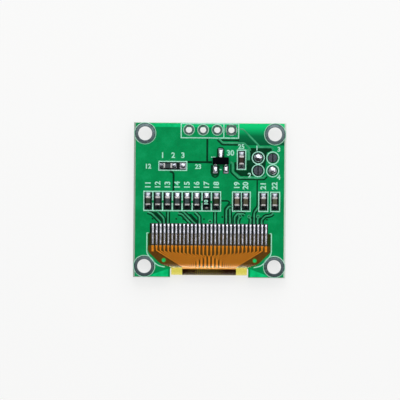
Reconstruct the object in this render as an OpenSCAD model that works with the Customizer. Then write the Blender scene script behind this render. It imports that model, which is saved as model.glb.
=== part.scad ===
// Small OLED display module lying on its display face, component side up.
// X runs left to right and Y towards the header edge, both from the middle of the board.
// Z runs from the front of the polariser, at 0, towards the components. Sizes in millimetres.

/* [Board] */
// Width of the board
board_w = 27.3; // [26.5:0.1:36]
// Length of the board, from the fold edge to the header edge
board_l = 27.8; // [27:0.1:36]
// Thickness of the board
board_t = 1.2; // [0.8:0.1:2]
// Width of the scored bevel on the left and right edges
score_side_w = 0.3; // [0.1:0.05:0.5]
// Width of the scored bevel on the fold and header edges
score_end_w = 0.12; // [0.05:0.01:0.5]
// Depth of the scored bevels, from each face
score_depth = 0.3; // [0.1:0.05:0.39]
// Width of the notch that the tail folds through
notch_w = 14; // [12:0.1:18]
// Depth of the notch
notch_depth = 1.8; // [1.2:0.1:2.2]
// Radius of the notch's inner corners, as routed
notch_corner_r = 0.4; // [0.1:0.1:1]
// Thickness of the pads over the board's face
pad_t = 0.04; // [0.02:0.01:0.1]

/* [Mounting holes] */
// Distance from the board's left and right edges to the mounting holes
mount_inset_x = 2; // [1.65:0.05:2.65]
// Distance from the board's fold and header edges to the mounting holes
mount_inset_y = 2; // [1.65:0.05:2.4]
// Bore of a mounting hole, inside its plating
mount_hole_d = 2.5; // [1.6:0.1:2.7]
// Diameter of the ring round a mounting hole
mount_ring_d = 3.5; // [3.2:0.1:3.9]
// Thickness of the plating in the holes
plating_t = 0.05; // [0.03:0.01:0.1]

/* [Header holes] */
// Number of header holes
header_count = 4; // [2:1:6]
// Pitch of the header holes
header_pitch = 2.54; // [1.6:0.01:3.2]
// Bore of a header hole, inside its plating
header_hole_d = 1.1; // [0.8:0.05:1.2]
// Diameter of a round header pad, and side of the square one
header_pad_d = 1.75; // [1.5:0.05:1.9]
// Distance from the header edge to the row of holes
header_inset = 1.3; // [1.1:0.05:1.6]

/* [Display panel] */
// Width of the front glass
panel_w = 26.7; // [25:0.1:34]
// Length of the front glass
panel_l = 19.26; // [18:0.02:23.5]
// Distance from the board's fold edge to the panel's ledge
panel_inset = 3.9; // [3.6:0.1:4.2]
// Length of the ledge that the rear glass leaves bare
ledge_l = 4; // [3.6:0.1:5]
// Thickness of the front glass
front_glass_t = 0.55; // [0.4:0.05:0.8]
// Thickness of the rear glass
rear_glass_t = 0.52; // [0.4:0.02:0.8]
// Inset of the rear glass from the sides of the front glass
rear_glass_inset = 0.2; // [0:0.05:0.5]
// Depth of the pocket etched in the rear glass
pocket_depth = 0.25; // [0.15:0.01:0.3]
// Width of the rear glass's rim round its pocket
rim_w = 1.1; // [0.8:0.05:1.5]
// Thickness of the sealing glue between the glasses
seal_t = 0.03; // [0.02:0.01:0.05]
// Width of the sealing glue
seal_w = 0.8; // [0.4:0.05:1]
// Thickness of the light-giving layers
oled_t = 0.02; // [0.01:0.01:0.04]
// Thickness of the drying sheet in the pocket
dryer_t = 0.1; // [0.05:0.01:0.12]
// Thickness of the polariser
polariser_t = 0.2; // [0.1:0.02:0.3]
// Inset of the polariser from the rear glass's outline
polariser_inset = 0.4; // [0.2:0.05:1]
// Thickness of the tape between the rear glass and the board
tape_t = 0.4; // [0.2:0.05:0.8]
// Inset of the tape from the rear glass's outline
tape_inset = 1.2; // [0.5:0.1:3]

/* [Driver chip] */
// Length of the driver chip across the ledge
driver_w = 6.76; // [5:0.02:9]
// Width of the driver chip
driver_l = 0.86; // [0.7:0.02:1.2]
// Height of the driver chip
driver_h = 0.3; // [0.2:0.02:0.4]
// Gap from the rear glass's edge to the driver chip
driver_gap = 0.9; // [0.6:0.05:1.2]
// Thickness of the bonding film under the chip and the tail
bond_t = 0.03; // [0.02:0.01:0.05]
// Thickness of the resin over the bare ledge
resin_t = 0.18; // [0.1:0.01:0.25]

/* [Folded tail] */
// Number of fingers on the tail
finger_count = 30; // [20:2:30]
// Pitch of the fingers
finger_pitch = 0.7; // [0.5:0.01:0.85]
// Width of a finger
finger_w = 0.4; // [0.3:0.01:0.42]
// Width of the film outside the outermost fingers, from their centre lines
tail_margin = 0.85; // [0.5:0.05:1]
// How far the tail reaches up the board from the notch
tail_reach = 6.1; // [5.6:0.1:6.8]
// Length of the bare fingers
finger_l = 2.2; // [1.5:0.1:2.6]
// Gap from the notch's edge to the tail's shoulders
shoulder_gap = 0.15; // [0.1:0.05:0.4]
// Cut across the tail's outer corners
shoulder_cut = 2; // [0.5:0.1:2.4]
// Clearance at each side of the tail in the notch
notch_clearance = 0.2; // [0.1:0.05:0.5]
// Gap from the notch's edge to where the tail starts to bend
fold_gap = 0.23; // [0.1:0.01:0.4]
// Thickness of the base film
film_t = 0.05; // [0.03:0.01:0.08]
// Thickness of the copper
copper_t = 0.035; // [0.02:0.005:0.05]
// Thickness of the cover film
cover_t = 0.05; // [0.03:0.01:0.08]
// Gap left for glue over the pads and over the copper
glue_t = 0.01; // [0.005:0.005:0.02]
// Width of a copper track
track_w = 0.21; // [0.15:0.01:0.24]
// Pitch of the tracks through the fold
neck_pitch = 0.345; // [0.3:0.005:0.4]
// Fall of a slanting track for each finger that it lies from the middle
fan_step = 0.21655; // [0.1775:0.00005:0.2485]
// Where the outermost tracks turn, below the edge of the cover film
knee_outer = 0.85; // [0.6:0.05:1]
// How much lower the middle tracks turn
knee_drop = 0.9; // [0.4:0.05:1]
// Length of the outermost fingers' stubs under the cover film
stub_l = 1.05; // [0.5:0.05:1.5]
// Diameter of the tail's two locating holes
locating_d = 0.64; // [0.4:0.02:0.8]
// Distance of the locating holes from the tail's sides
locating_inset = 2.85; // [2.2:0.05:3.2]
// Length of the bond between the tail and the ledge
tail_bond_l = 1.2; // [0.8:0.05:1.6]

/* [Chip parts] */
// Length of a chip part
chip_l = 1.6; // [1.4:0.05:1.95]
// Width of a chip part
chip_w = 0.8; // [0.6:0.05:1]
// Height of a capacitor
capacitor_h = 0.8; // [0.5:0.05:1]
// Height of a resistor
resistor_h = 0.45; // [0.35:0.05:0.6]
// Length of a chip's metal end
end_l = 0.32; // [0.2:0.02:0.4]
// Thickness of a chip's metal end
end_t = 0.03; // [0.02:0.01:0.05]
// Rounding of a chip's edges
chip_edge_r = 0.07; // [0.05:0.01:0.1]
// Width of a chip's pad
chip_pad_w = 1.12; // [1:0.02:1.3]
// Length of a chip's pad
chip_pad_l = 1.05; // [0.9:0.05:1.2]
// Gap between a chip's two pads
chip_pad_gap = 1; // [0.8:0.05:1.2]
// Pitch of the chips in the main row
row_pitch = 1.75; // [1.5:0.05:1.85]
// Place of the first chip of the main row, from the board's middle
row_x = -11.05; // [-11.2:0.05:-10.5]
// Place of the main row along the board
row_y = -0.2; // [-0.4:0.05:0.4]

/* [Regulator] */
// Length of the regulator's body
regulator_w = 2.92; // [2.6:0.02:3.2]
// Width of the regulator's body
regulator_l = 1.3; // [1.1:0.05:1.5]
// Height of the regulator's body over its seating plane
regulator_h = 1.05; // [0.8:0.05:1.2]
// Span over the regulator's leads
regulator_span = 2.4; // [2.2:0.05:2.8]
// Pitch of the regulator's two paired leads
regulator_pitch = 1.9; // [1.6:0.05:2]
// Width of a lead
lead_w = 0.42; // [0.3:0.02:0.5]
// Thickness of a lead
lead_t = 0.13; // [0.1:0.01:0.2]

/* [Solder jumpers] */
// Distance between the jumpers across the board
jumper_pitch_x = 2.62; // [2.3:0.02:2.8]
// Distance between the jumpers along the board
jumper_pitch_y = 2.3; // [2:0.02:2.6]
// Diameter of a jumper's split pad
jumper_d = 1.56; // [1.2:0.02:1.8]
// Gap across a jumper's split pad
jumper_gap = 0.2; // [0.1:0.02:0.3]
// Height of the solder on a closed jumper
jumper_solder_h = 0.42; // [0.2:0.02:0.6]

/* [Hidden] */
$fn = 48;
EPS = 0.01;

// Stack, from the polariser up
front_glass_z = polariser_t;
glass_rear_z = front_glass_z + front_glass_t;
rear_glass_z = glass_rear_z + seal_t;
tape_z = rear_glass_z + rear_glass_t;
board_z = tape_z + tape_t;
board_top = board_z + board_t;
pad_top = board_top + pad_t;

// Panel outline
panel_y0 = -board_l / 2 + panel_inset;
panel_y1 = panel_y0 + panel_l;
rear_y0 = panel_y0 + ledge_l;
rear_w = panel_w - 2 * rear_glass_inset;
rear_l = panel_y1 - rear_y0;
rear_yc = (rear_y0 + panel_y1) / 2;

// Ledge
driver_y = rear_y0 - driver_gap - driver_l / 2;
tail_bond_y = panel_y0 + tail_bond_l;

// Tail: the stations along it and the fold's radius and centre
notch_y = -board_l / 2 + notch_depth;
tail_y = notch_y + tail_reach;
cover_y = tail_y - finger_l;
shoulder_y = notch_y + shoulder_gap;
tail_w = (finger_count - 1) * finger_pitch + 2 * tail_margin;
neck_w = notch_w - 2 * notch_clearance;
film_z = pad_top + glue_t;
finger_z = film_z + film_t + copper_t;
bond_z = glass_rear_z + bond_t;
lower_z = bond_z + copper_t + film_t;
fold_r = (film_z - lower_z) / 2;
fold_z = (film_z + lower_z) / 2;
fold_y = notch_y - fold_gap;
cover_offset = film_t + copper_t + glue_t;
copper_reach = film_t + copper_t;
finger_mid = (finger_count - 1) / 2;

// Places of the holes and of the parts on the board
mount_spacing_x = board_w - 2 * mount_inset_x;
mount_spacing_y = board_l - 2 * mount_inset_y;
header_y = board_l / 2 - header_inset;
regulator_x = 1.93;
regulator_y = 7.05;
jumper_x = 8.64;
jumper_y = 7.65;
selector_x = -8.45;
selector_y = 6.1;
selector_pitch = 1.8;
barrel_wall = 2 * plating_t;

// Small details of the parts
foot_l = 0.4;
lead_z = 0.5 * regulator_h;
seat_gap = 0.05;
regulator_pad_w = 1;
regulator_pad_l = 1.35;
regulator_pad_shift = 0.35;
diode_l = 1.6;
diode_w = 0.95;
diode_h = 0.65;
diode_shift = -0.2;
diode_span = chip_pad_gap + 2 * chip_pad_l - 0.94;
diode_foot_l = diode_span / 2 - 0.65;
diode_foot_w = 0.32;
solder_toe = 0.045;
solder_bead = 0.06;
tail_pad_l = 1.75;

// The regulator's feet: the middle of each foot's tip, and the side it points to
regulator_feet = [
    [regulator_x, regulator_y + regulator_span / 2, 1],
    [regulator_x - regulator_pitch / 2, regulator_y - regulator_span / 2, -1],
    [regulator_x + regulator_pitch / 2, regulator_y - regulator_span / 2, -1]
];

// Chips: name, kind, place and turn
function row_place(i) = row_x + i * row_pitch;
CHIPS = [
    ["capacitor_1", "capacitor", row_place(0), row_y, 90],
    ["capacitor_2", "capacitor", row_place(1), row_y, 90],
    ["resistor_1", "resistor", row_place(2), row_y, 90],
    ["resistor_2", "resistor", row_place(3), row_y, 90],
    ["resistor_3", "resistor", row_place(4), row_y, 90],
    ["resistor_4", "resistor", row_place(5), row_y, 90],
    ["diode", "diode", row_place(6), row_y, 90],
    ["capacitor_3", "capacitor", row_place(7), row_y, 90],
    ["capacitor_4", "capacitor", 4.9, row_y, 90],
    ["capacitor_5", "capacitor", 6.45, row_y, 90],
    ["capacitor_6", "capacitor", 9.63, row_y, 90],
    ["capacitor_7", "capacitor", 11.68, row_y, 90],
    ["capacitor_8", "capacitor", 5.65, 7.2, 90],
    ["address_resistor", "resistor", selector_x + selector_pitch / 2, selector_y, 0]
];

function chip_height(kind) = kind == "capacitor" ? capacitor_h : resistor_h;

// Outlines

module rounded_rect(w, l, r) {
    square([w - 2 * r, l], center = true);
    square([w, l - 2 * r], center = true);
    for (x = [-1, 1], y = [-1, 1])
        translate([x * (w / 2 - r), y * (l / 2 - r)])
            circle(r);
}

// A block with all its edges rounded, standing on z = 0
module rounded_block(w, l, h, r) {
    intersection() {
        linear_extrude(h)
            rounded_rect(w, l, r);
        translate([0, l / 2, h / 2])
            rotate([90, 0, 0])
                linear_extrude(l)
                    rounded_rect(w, h, r);
        translate([-w / 2, 0, h / 2])
            rotate([90, 0, 90])
                linear_extrude(w)
                    rounded_rect(l, h, r);
    }
}

// A moulded block whose sides lean in above and below an upright band
module moulded_block(w, l, h, band_z, band_h, draft) {
    side = [[0, draft], [band_z, 0], [band_z + band_h, 0], [h, draft]];
    intersection() {
        translate([0, l / 2, 0])
            rotate([90, 0, 0])
                linear_extrude(l)
                    polygon(concat(
                        [for (p = side) [w / 2 - p[1], p[0]]],
                        [for (i = [3:-1:0]) [side[i][1] - w / 2, side[i][0]]]));
        translate([-w / 2, 0, 0])
            rotate([90, 0, 90])
                linear_extrude(w)
                    polygon(concat(
                        [for (p = side) [l / 2 - p[1], p[0]]],
                        [for (i = [3:-1:0]) [side[i][1] - l / 2, side[i][0]]]));
    }
}

// A board edge's profile: its width at both faces is less by the scored bevels
module scored_profile(w, bevel) {
    polygon([
        [-w / 2, score_depth],
        [-w / 2 + bevel, 0],
        [w / 2 - bevel, 0],
        [w / 2, score_depth],
        [w / 2, board_t - score_depth],
        [w / 2 - bevel, board_t],
        [-w / 2 + bevel, board_t],
        [-w / 2, board_t - score_depth]
    ]);
}

module mount_places() {
    for (x = [-1, 1], y = [-1, 1])
        translate([x * mount_spacing_x / 2, y * mount_spacing_y / 2, 0])
            children();
}

function header_x(i) = (i - (header_count - 1) / 2) * header_pitch;

// The notch, open towards the fold edge, with rounded inner corners
module notch_outline() {
    translate([-notch_w / 2, -board_l / 2 - 1])
        square([notch_w, notch_depth + 1 - notch_corner_r]);
    translate([-notch_w / 2 + notch_corner_r, -board_l / 2 - 1])
        square([notch_w - 2 * notch_corner_r, notch_depth + 1]);
    for (x = [-1, 1])
        translate([x * (notch_w / 2 - notch_corner_r), notch_y - notch_corner_r])
            circle(notch_corner_r);
}

// Board and its metal

module printed_circuit_board() {
    color("seagreen")
    difference() {
        translate([0, 0, board_z])
            intersection() {
                translate([0, board_l / 2, 0])
                    rotate([90, 0, 0])
                        linear_extrude(board_l)
                            scored_profile(board_w, score_side_w);
                translate([-board_w / 2, 0, 0])
                    rotate([90, 0, 90])
                        linear_extrude(board_w)
                            scored_profile(board_l, score_end_w);
            }
        translate([0, 0, board_z - 1])
            linear_extrude(board_t + 2)
                notch_outline();
        mount_places()
            translate([0, 0, board_z - 1])
                cylinder(d = mount_hole_d + barrel_wall, h = board_t + 2);
        for (i = [0:header_count - 1])
            translate([header_x(i), header_y, board_z - 1])
                cylinder(d = header_hole_d + barrel_wall, h = board_t + 2);
    }
}

// A plated hole: the barrel through the board and a ring on each face
module plated_hole(bore_d, ring_d) {
    rotate_extrude()
        polygon([
            [bore_d / 2, board_z - pad_t],
            [ring_d / 2, board_z - pad_t],
            [ring_d / 2, board_z],
            [bore_d / 2 + plating_t, board_z],
            [bore_d / 2 + plating_t, board_top],
            [ring_d / 2, board_top],
            [ring_d / 2, pad_top],
            [bore_d / 2, pad_top]
        ]);
}

module mounting_hole_plating() {
    color("silver")
    mount_places()
        plated_hole(mount_hole_d, mount_ring_d);
}

// The last hole's pads are square
module header_hole_plating() {
    color("silver") {
        for (i = [0:header_count - 2])
            translate([header_x(i), header_y, 0])
                plated_hole(header_hole_d, header_pad_d);
        translate([header_x(header_count - 1), header_y, 0])
            difference() {
                union() {
                    translate([0, 0, board_z])
                        cylinder(d = header_hole_d + barrel_wall, h = board_t);
                    for (z = [board_z - pad_t, board_top])
                        translate([-header_pad_d / 2, -header_pad_d / 2, z])
                            cube([header_pad_d, header_pad_d, pad_t]);
                }
                translate([0, 0, board_z - 1])
                    cylinder(d = header_hole_d, h = board_t + 2);
            }
    }
}

module pad(w, l) {
    translate([-w / 2, -l / 2, board_top])
        cube([w, l, pad_t]);
}

module chip_pads() {
    color("gainsboro") {
        for (c = CHIPS, side = [-1, 1])
            translate([c[2], c[3], 0])
                rotate([0, 0, c[4]])
                    translate([side * (chip_pad_gap + chip_pad_l) / 2, 0, 0])
                        pad(chip_pad_l, chip_pad_w);
        regulator_pads();
    }
}

module regulator_pads() {
    for (p = regulator_feet)
        translate([p[0], p[1] + p[2] * regulator_pad_shift, 0])
            pad(regulator_pad_w, regulator_pad_l);
}

module tail_pads() {
    color("gainsboro")
    for (i = [0:finger_count - 1])
        translate([(i - finger_mid) * finger_pitch, 0, 0])
            translate([-finger_w / 2, cover_y, board_top])
                cube([finger_w, finger_l + tail_pad_l, pad_t]);
}

module address_pad() {
    color("gainsboro")
    translate([selector_x + 2 * selector_pitch, selector_y, 0])
        pad(chip_pad_l, chip_pad_w);
}

module jumper_places() {
    for (i = [0, 1], j = [0, 1])
        translate([jumper_x + i * jumper_pitch_x, jumper_y - j * jumper_pitch_y, 0])
            children();
}

module jumper_pads() {
    color("gainsboro")
    jumper_places()
        difference() {
            translate([0, 0, board_top])
                cylinder(d = jumper_d, h = pad_t);
            translate([-jumper_gap / 2, -jumper_d, board_top - 1])
                cube([jumper_gap, 2 * jumper_d, pad_t + 2]);
        }
}

// Display panel

module panel_plate(w, l, yc, z, t) {
    translate([-w / 2, yc - l / 2, z])
        cube([w, l, t]);
}

module polariser() {
    color("dimgray")
    panel_plate(rear_w - 2 * polariser_inset, rear_l - 2 * polariser_inset, rear_yc, 0, polariser_t);
}

module front_glass() {
    color("lightblue")
    panel_plate(panel_w, panel_l, (panel_y0 + panel_y1) / 2, front_glass_z, front_glass_t);
}

module oled_layers() {
    color("midnightblue")
    panel_plate(rear_w - 2 * rim_w - 0.4, rear_l - 2 * rim_w - 0.4, rear_yc, glass_rear_z, oled_t);
}

module sealing_glue() {
    color("khaki")
    difference() {
        panel_plate(rear_w - 0.2, rear_l - 0.2, rear_yc, glass_rear_z, seal_t);
        panel_plate(rear_w - 0.2 - 2 * seal_w, rear_l - 0.2 - 2 * seal_w, rear_yc,
            glass_rear_z - 1, seal_t + 2);
    }
}

module rear_glass() {
    color("lightsteelblue")
    difference() {
        panel_plate(rear_w, rear_l, rear_yc, rear_glass_z, rear_glass_t);
        translate([0, rear_yc, rear_glass_z - 1])
            linear_extrude(pocket_depth + 1)
                rounded_rect(rear_w - 2 * rim_w, rear_l - 2 * rim_w, 1);
    }
}

module drying_sheet() {
    color("whitesmoke")
    panel_plate(rear_w - 2 * rim_w - 2, rear_l - 2 * rim_w - 2, rear_yc,
        rear_glass_z + pocket_depth - dryer_t, dryer_t);
}

module mounting_tape() {
    color("white")
    panel_plate(rear_w - 2 * tape_inset, rear_l - 2 * tape_inset, rear_yc, tape_z, tape_t);
}

module driver_chip() {
    color("slategray")
    panel_plate(driver_w, driver_l, driver_y, bond_z, driver_h);
}

module bonding_film() {
    color("wheat") {
        panel_plate(driver_w, driver_l, driver_y, glass_rear_z, bond_t);
        translate([-neck_w / 2, panel_y0, glass_rear_z])
            cube([neck_w, tail_bond_l, bond_t]);
    }
}

// Resin over the bare ledge, from the tail's end to the rear glass, round the driver chip
module ledge_resin() {
    color("darkslategray")
    difference() {
        translate([-neck_w / 2, tail_bond_y, glass_rear_z])
            cube([neck_w, rear_y0 - tail_bond_y, resin_t]);
        panel_plate(driver_w, driver_l, driver_y, glass_rear_z - 1, resin_t + 2);
    }
}

// Folded tail

// The space inside a fold of the tail whose faces lie out from its inner face by this much
module fold_outline(out) {
    r = fold_r + out;
    translate([fold_y, fold_z])
        circle(r);
    translate([fold_y, fold_z - r])
        square([board_l, 2 * r]);
}

// One layer of the tail, folded, from one distance out from the inner face to another
module fold_layer(from, to) {
    translate([-board_w, 0, 0])
        rotate([90, 0, 90])
            linear_extrude(2 * board_w)
                difference() {
                    fold_outline(to);
                    fold_outline(from);
                }
}

// The tail's outline on the back of the board, down to the fold
module tail_outline(top_y) {
    difference() {
        union() {
            polygon([
                [-tail_w / 2, top_y],
                [-tail_w / 2, shoulder_y + shoulder_cut],
                [-tail_w / 2 + shoulder_cut, shoulder_y],
                [tail_w / 2 - shoulder_cut, shoulder_y],
                [tail_w / 2, shoulder_y + shoulder_cut],
                [tail_w / 2, top_y]
            ]);
            translate([-neck_w / 2, -board_l / 2 - 1])
                square([neck_w, shoulder_y + board_l / 2 + 1 + EPS]);
            for (side = [-1, 1])
                translate([side * neck_w / 2, shoulder_y])
                    neck_fillet(side);
        }
        for (side = [-1, 1])
            translate([side * (tail_w / 2 - locating_inset), shoulder_y + 1.15])
                circle(d = locating_d);
    }
}

// The round stretch where the shoulder runs into the neck
module neck_fillet(side) {
    r = fold_gap + shoulder_gap;
    difference() {
        translate([side > 0 ? -EPS : -r, -r])
            square([r + EPS, r + EPS]);
        translate([side * r, -r])
            circle(r);
    }
}

// Keeps what lies on the tail's upper run and round its fold, or on its lower run
module upper_run(outline_depth = 10) {
    translate([0, 0, fold_z])
        linear_extrude(outline_depth)
            children();
}

module lower_run(end_y) {
    translate([-neck_w / 2, -board_l / 2 - 1, fold_z - 10])
        cube([neck_w, end_y + board_l / 2 + 1, 10]);
}

module tail_film() {
    color("darkgoldenrod")
    intersection() {
        fold_layer(0, film_t);
        union() {
            upper_run()
                tail_outline(tail_y);
            lower_run(tail_bond_y);
        }
    }
}

module tail_cover() {
    color("orange")
    intersection() {
        fold_layer(cover_offset, cover_offset + cover_t);
        union() {
            upper_run()
                tail_outline(cover_y);
            lower_run(panel_y0 - 0.15);
        }
    }
}

// Tracks: a finger runs straight down to its knee, slants towards the middle and
// turns straight again to pass through the fold. The outermost pair are stubs.
function finger_x(i) = (i - finger_mid) * finger_pitch;
function neck_x(i) = (i - finger_mid) * neck_pitch;
function knee_y(i) = cover_y - knee_outer - knee_drop * (1 - abs(i - finger_mid) / (finger_mid - 1));
function turn_y(i) = knee_y(i) - fan_step * abs(i - finger_mid);

module track_strip(from, to, width) {
    run = to - from;
    translate(from)
        rotate(atan2(run[1], run[0]))
            translate([0, -width / 2])
                square([norm(run), width]);
    translate(from)
        circle(d = width);
    translate(to)
        circle(d = width);
}

module track_outline(i) {
    translate([finger_x(i) - finger_w / 2, cover_y - 0.2])
        square([finger_w, finger_l + 0.2]);
    track_strip([finger_x(i), cover_y - 0.2], [finger_x(i), knee_y(i)], finger_w * 0.75);
    track_strip([finger_x(i), knee_y(i)], [neck_x(i), turn_y(i)], track_w);
    translate([neck_x(i) - track_w / 2, -board_l / 2 - 1])
        square([track_w, turn_y(i) + board_l / 2 + 1]);
}

module stub_outline(i) {
    translate([finger_x(i) - finger_w / 2, cover_y - stub_l])
        square([finger_w, finger_l + stub_l]);
}

module tail_tracks() {
    color("peru")
    intersection() {
        fold_layer(film_t, copper_reach);
        union() {
            upper_run() {
                for (i = [1:finger_count - 2])
                    track_outline(i);
                stub_outline(0);
                stub_outline(finger_count - 1);
            }
            for (i = [1:finger_count - 2])
                translate([neck_x(i) - track_w / 2, -board_l / 2 - 1, fold_z - 10])
                    cube([track_w, tail_bond_y + board_l / 2 + 1, 10]);
        }
    }
}

// Solder on a finger: it lies on the bare copper, climbs down its end and runs along the pad
module tail_solder() {
    color("lightgray")
    for (i = [0:finger_count - 1])
        translate([finger_x(i) - finger_w / 2, 0, 0])
            rotate([90, 0, 90])
                linear_extrude(finger_w)
                    polygon([
                        [cover_y, finger_z],
                        [cover_y + 0.15, finger_z + solder_bead],
                        [tail_y, finger_z + solder_bead],
                        [tail_y + 0.45, pad_top + solder_bead],
                        [tail_y + tail_pad_l - 0.15, pad_top + solder_bead],
                        [tail_y + tail_pad_l, pad_top],
                        [tail_y, pad_top],
                        [tail_y, finger_z]
                    ]);
}

// Chip parts

// A capacitor or resistor body, standing on its pads, with its length along X
module chip_body(c) {
    h = chip_height(c[1]);
    translate([c[2], c[3], pad_top + end_t])
        rotate([0, 0, c[4]])
            rounded_block(chip_l - 2 * end_t, chip_w - 2 * end_t, h - 2 * end_t,
                chip_edge_r - end_t + EPS);
}

module chip_ends(c) {
    h = chip_height(c[1]);
    translate([c[2], c[3], pad_top])
        rotate([0, 0, c[4]])
            difference() {
                rounded_block(chip_l, chip_w, h, chip_edge_r);
                translate([0, 0, end_t])
                    rounded_block(chip_l - 2 * end_t, chip_w - 2 * end_t, h - 2 * end_t,
                        chip_edge_r - end_t + EPS);
                translate([end_l - chip_l / 2, -chip_w, -1])
                    cube([chip_l - 2 * end_l, 2 * chip_w, h + 2]);
            }
}

// The diode is a small moulded block with a flat foot at each end
module diode_body(c) {
    translate([c[2], c[3], pad_top])
        rotate([0, 0, c[4]])
            difference() {
                translate([diode_shift, 0, 0])
                    moulded_block(diode_l, diode_w, diode_h, lead_t, diode_h / 4, 0.04);
                diode_feet();
            }
}

module diode_feet() {
    for (side = [-1, 1])
        translate([diode_shift + side * (diode_span - diode_foot_l) / 2, 0, lead_t / 2])
            cube([diode_foot_l, diode_foot_w, lead_t], center = true);
}

module diode_ends(c) {
    translate([c[2], c[3], pad_top])
        rotate([0, 0, c[4]])
            diode_feet();
}

module chip_part(c) {
    if (c[1] == "diode")
        color("black") diode_body(c);
    else
        color(c[1] == "capacitor" ? "rosybrown" : "black") chip_body(c);
}

module chip_part_ends(c) {
    color("silver")
        if (c[1] == "diode")
            diode_ends(c);
        else
            chip_ends(c);
}

// A hollow slope of solder from a height on a chip's end down to a low toe on the pad,
// whose hollow is an arc that bows in by a share of the slope's own angle
module solder_fillet(w, run, h) {
    fall = h - solder_toe;
    slope = atan2(fall, run);
    bow = 0.6 * slope;
    arc_r = norm([run, fall]) / (2 * sin(bow));
    arc_centre = [run, h + solder_toe] / 2 + arc_r * cos(bow) * [sin(slope), cos(slope)];
    translate([0, w / 2, 0])
        rotate([90, 0, 0])
            linear_extrude(w)
                difference() {
                    polygon([[0, 0], [run, 0], [run, solder_toe], [0, h]]);
                    translate(arc_centre)
                        circle(arc_r, $fn = 96);
                }
}

module chip_solder() {
    color("lightgray")
    for (c = CHIPS, side = [-1, 1]) {
        tip = c[1] == "diode" ? diode_span / 2 + side * diode_shift : chip_l / 2;
        run = chip_pad_gap / 2 + chip_pad_l - 0.08 - tip;
        h = c[1] == "diode" ? lead_t : 0.55 * chip_height(c[1]);
        translate([c[2], c[3], pad_top])
            rotate([0, 0, c[4] + (side < 0 ? 180 : 0)])
                translate([tip, 0, 0])
                    solder_fillet(chip_w, run, h);
    }
}

// Regulator: three gull-wing leads

module regulator() {
    color("black")
    translate([regulator_x, regulator_y, pad_top + seat_gap])
        moulded_block(regulator_w, regulator_l, regulator_h - seat_gap,
            lead_z - seat_gap, lead_t, 0.06);
}

// A lead's side profile, from its foot's tip at 0 to the body
module lead_profile() {
    out = (regulator_span - regulator_l) / 2;
    polygon([
        [0, 0],
        [foot_l - lead_t, 0],
        [foot_l + lead_t * 0.2, lead_z - lead_t * 0.4],
        [foot_l + lead_t * 0.7, lead_z],
        [out, lead_z],
        [out, lead_z + lead_t],
        [foot_l, lead_z + lead_t],
        [foot_l - lead_t, lead_z + lead_t * 0.5],
        [foot_l - 1.7 * lead_t, lead_t * 1.2],
        [foot_l - 2.2 * lead_t, lead_t],
        [0, lead_t]
    ]);
}

module regulator_leads() {
    color("silver")
    for (p = regulator_feet)
        translate([p[0], p[1], pad_top])
            rotate([0, 0, p[2] > 0 ? 180 : 0])
                translate([-lead_w / 2, 0, 0])
                    rotate([90, 0, 90])
                        linear_extrude(lead_w)
                            lead_profile();
}

module regulator_solder() {
    color("lightgray")
    for (p = regulator_feet)
        translate([p[0], p[1], pad_top])
            rotate([0, 0, p[2] > 0 ? 90 : -90])
                solder_fillet(regulator_pad_w * 0.8, 0.75, lead_t * 1.6);
}

// A dome of solder across the two halves of a closed jumper
module jumper_solder() {
    color("lightgray")
    for (i = [0, 1])
        translate([jumper_x + i * jumper_pitch_x, jumper_y - i * jumper_pitch_y, pad_top])
            solder_dome(jumper_d / 2 - 0.03, jumper_solder_h);
}

module solder_dome(base_r, h) {
    ball_r = (base_r * base_r + h * h) / (2 * h);
    intersection() {
        translate([0, 0, h - ball_r])
            sphere(ball_r);
        cylinder(r = 2 * ball_r, h = h + 1);
    }
}

printed_circuit_board();
mounting_hole_plating();
header_hole_plating();
chip_pads();
tail_pads();
address_pad();
jumper_pads();
polariser();
front_glass();
oled_layers();
sealing_glue();
rear_glass();
drying_sheet();
mounting_tape();
driver_chip();
bonding_film();
ledge_resin();
tail_film();
tail_tracks();
tail_cover();
tail_solder();
regulator();
regulator_leads();
chip_solder();
regulator_solder();
jumper_solder();
for (c = CHIPS) {
    chip_part(c);
    chip_part_ends(c);
}
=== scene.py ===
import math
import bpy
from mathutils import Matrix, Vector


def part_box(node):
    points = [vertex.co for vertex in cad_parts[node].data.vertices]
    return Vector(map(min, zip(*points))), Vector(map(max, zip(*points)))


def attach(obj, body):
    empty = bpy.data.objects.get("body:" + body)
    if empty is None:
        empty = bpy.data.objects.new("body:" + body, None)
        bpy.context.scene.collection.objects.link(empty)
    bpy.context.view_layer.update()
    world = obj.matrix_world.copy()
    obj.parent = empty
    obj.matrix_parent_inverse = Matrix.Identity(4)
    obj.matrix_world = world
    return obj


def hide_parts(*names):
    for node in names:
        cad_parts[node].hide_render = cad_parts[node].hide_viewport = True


bl_info = {
    "name": "Small Display Module",
    "version": (1, 0, 0),
    "blender": (4, 5, 0),
    "location": "View3D > Sidebar > Display Module",
    "description": "Builds the looks of a small display module round its packed frame",
    "category": "Object",
}

import bmesh
import bpy
from mathutils import Matrix, Vector, noise

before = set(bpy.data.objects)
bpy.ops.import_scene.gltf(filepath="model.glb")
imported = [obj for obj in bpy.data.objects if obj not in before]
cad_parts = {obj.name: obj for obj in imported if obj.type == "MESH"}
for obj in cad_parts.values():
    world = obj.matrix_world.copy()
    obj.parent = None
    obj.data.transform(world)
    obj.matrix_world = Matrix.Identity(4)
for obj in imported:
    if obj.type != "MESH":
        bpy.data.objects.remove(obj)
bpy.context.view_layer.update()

# Everything is modelled in millimetres and brought to metres when a piece is finished
MM = 0.001


def box_mm(node):
    """A CAD node's lowest and highest corners, in millimetres."""
    low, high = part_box(node)
    return Vector(low) / MM, Vector(high) / MM


BOARD_HIGH = box_mm("printed_circuit_board")[1]
BOARD_TOP = BOARD_HIGH.z
PAD_TOP = box_mm("chip_pads")[1].z
FILM_LOW, FILM_HIGH = box_mm("tail_film")
TAIL_PADS_END = box_mm("tail_pads")[1].y

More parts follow.
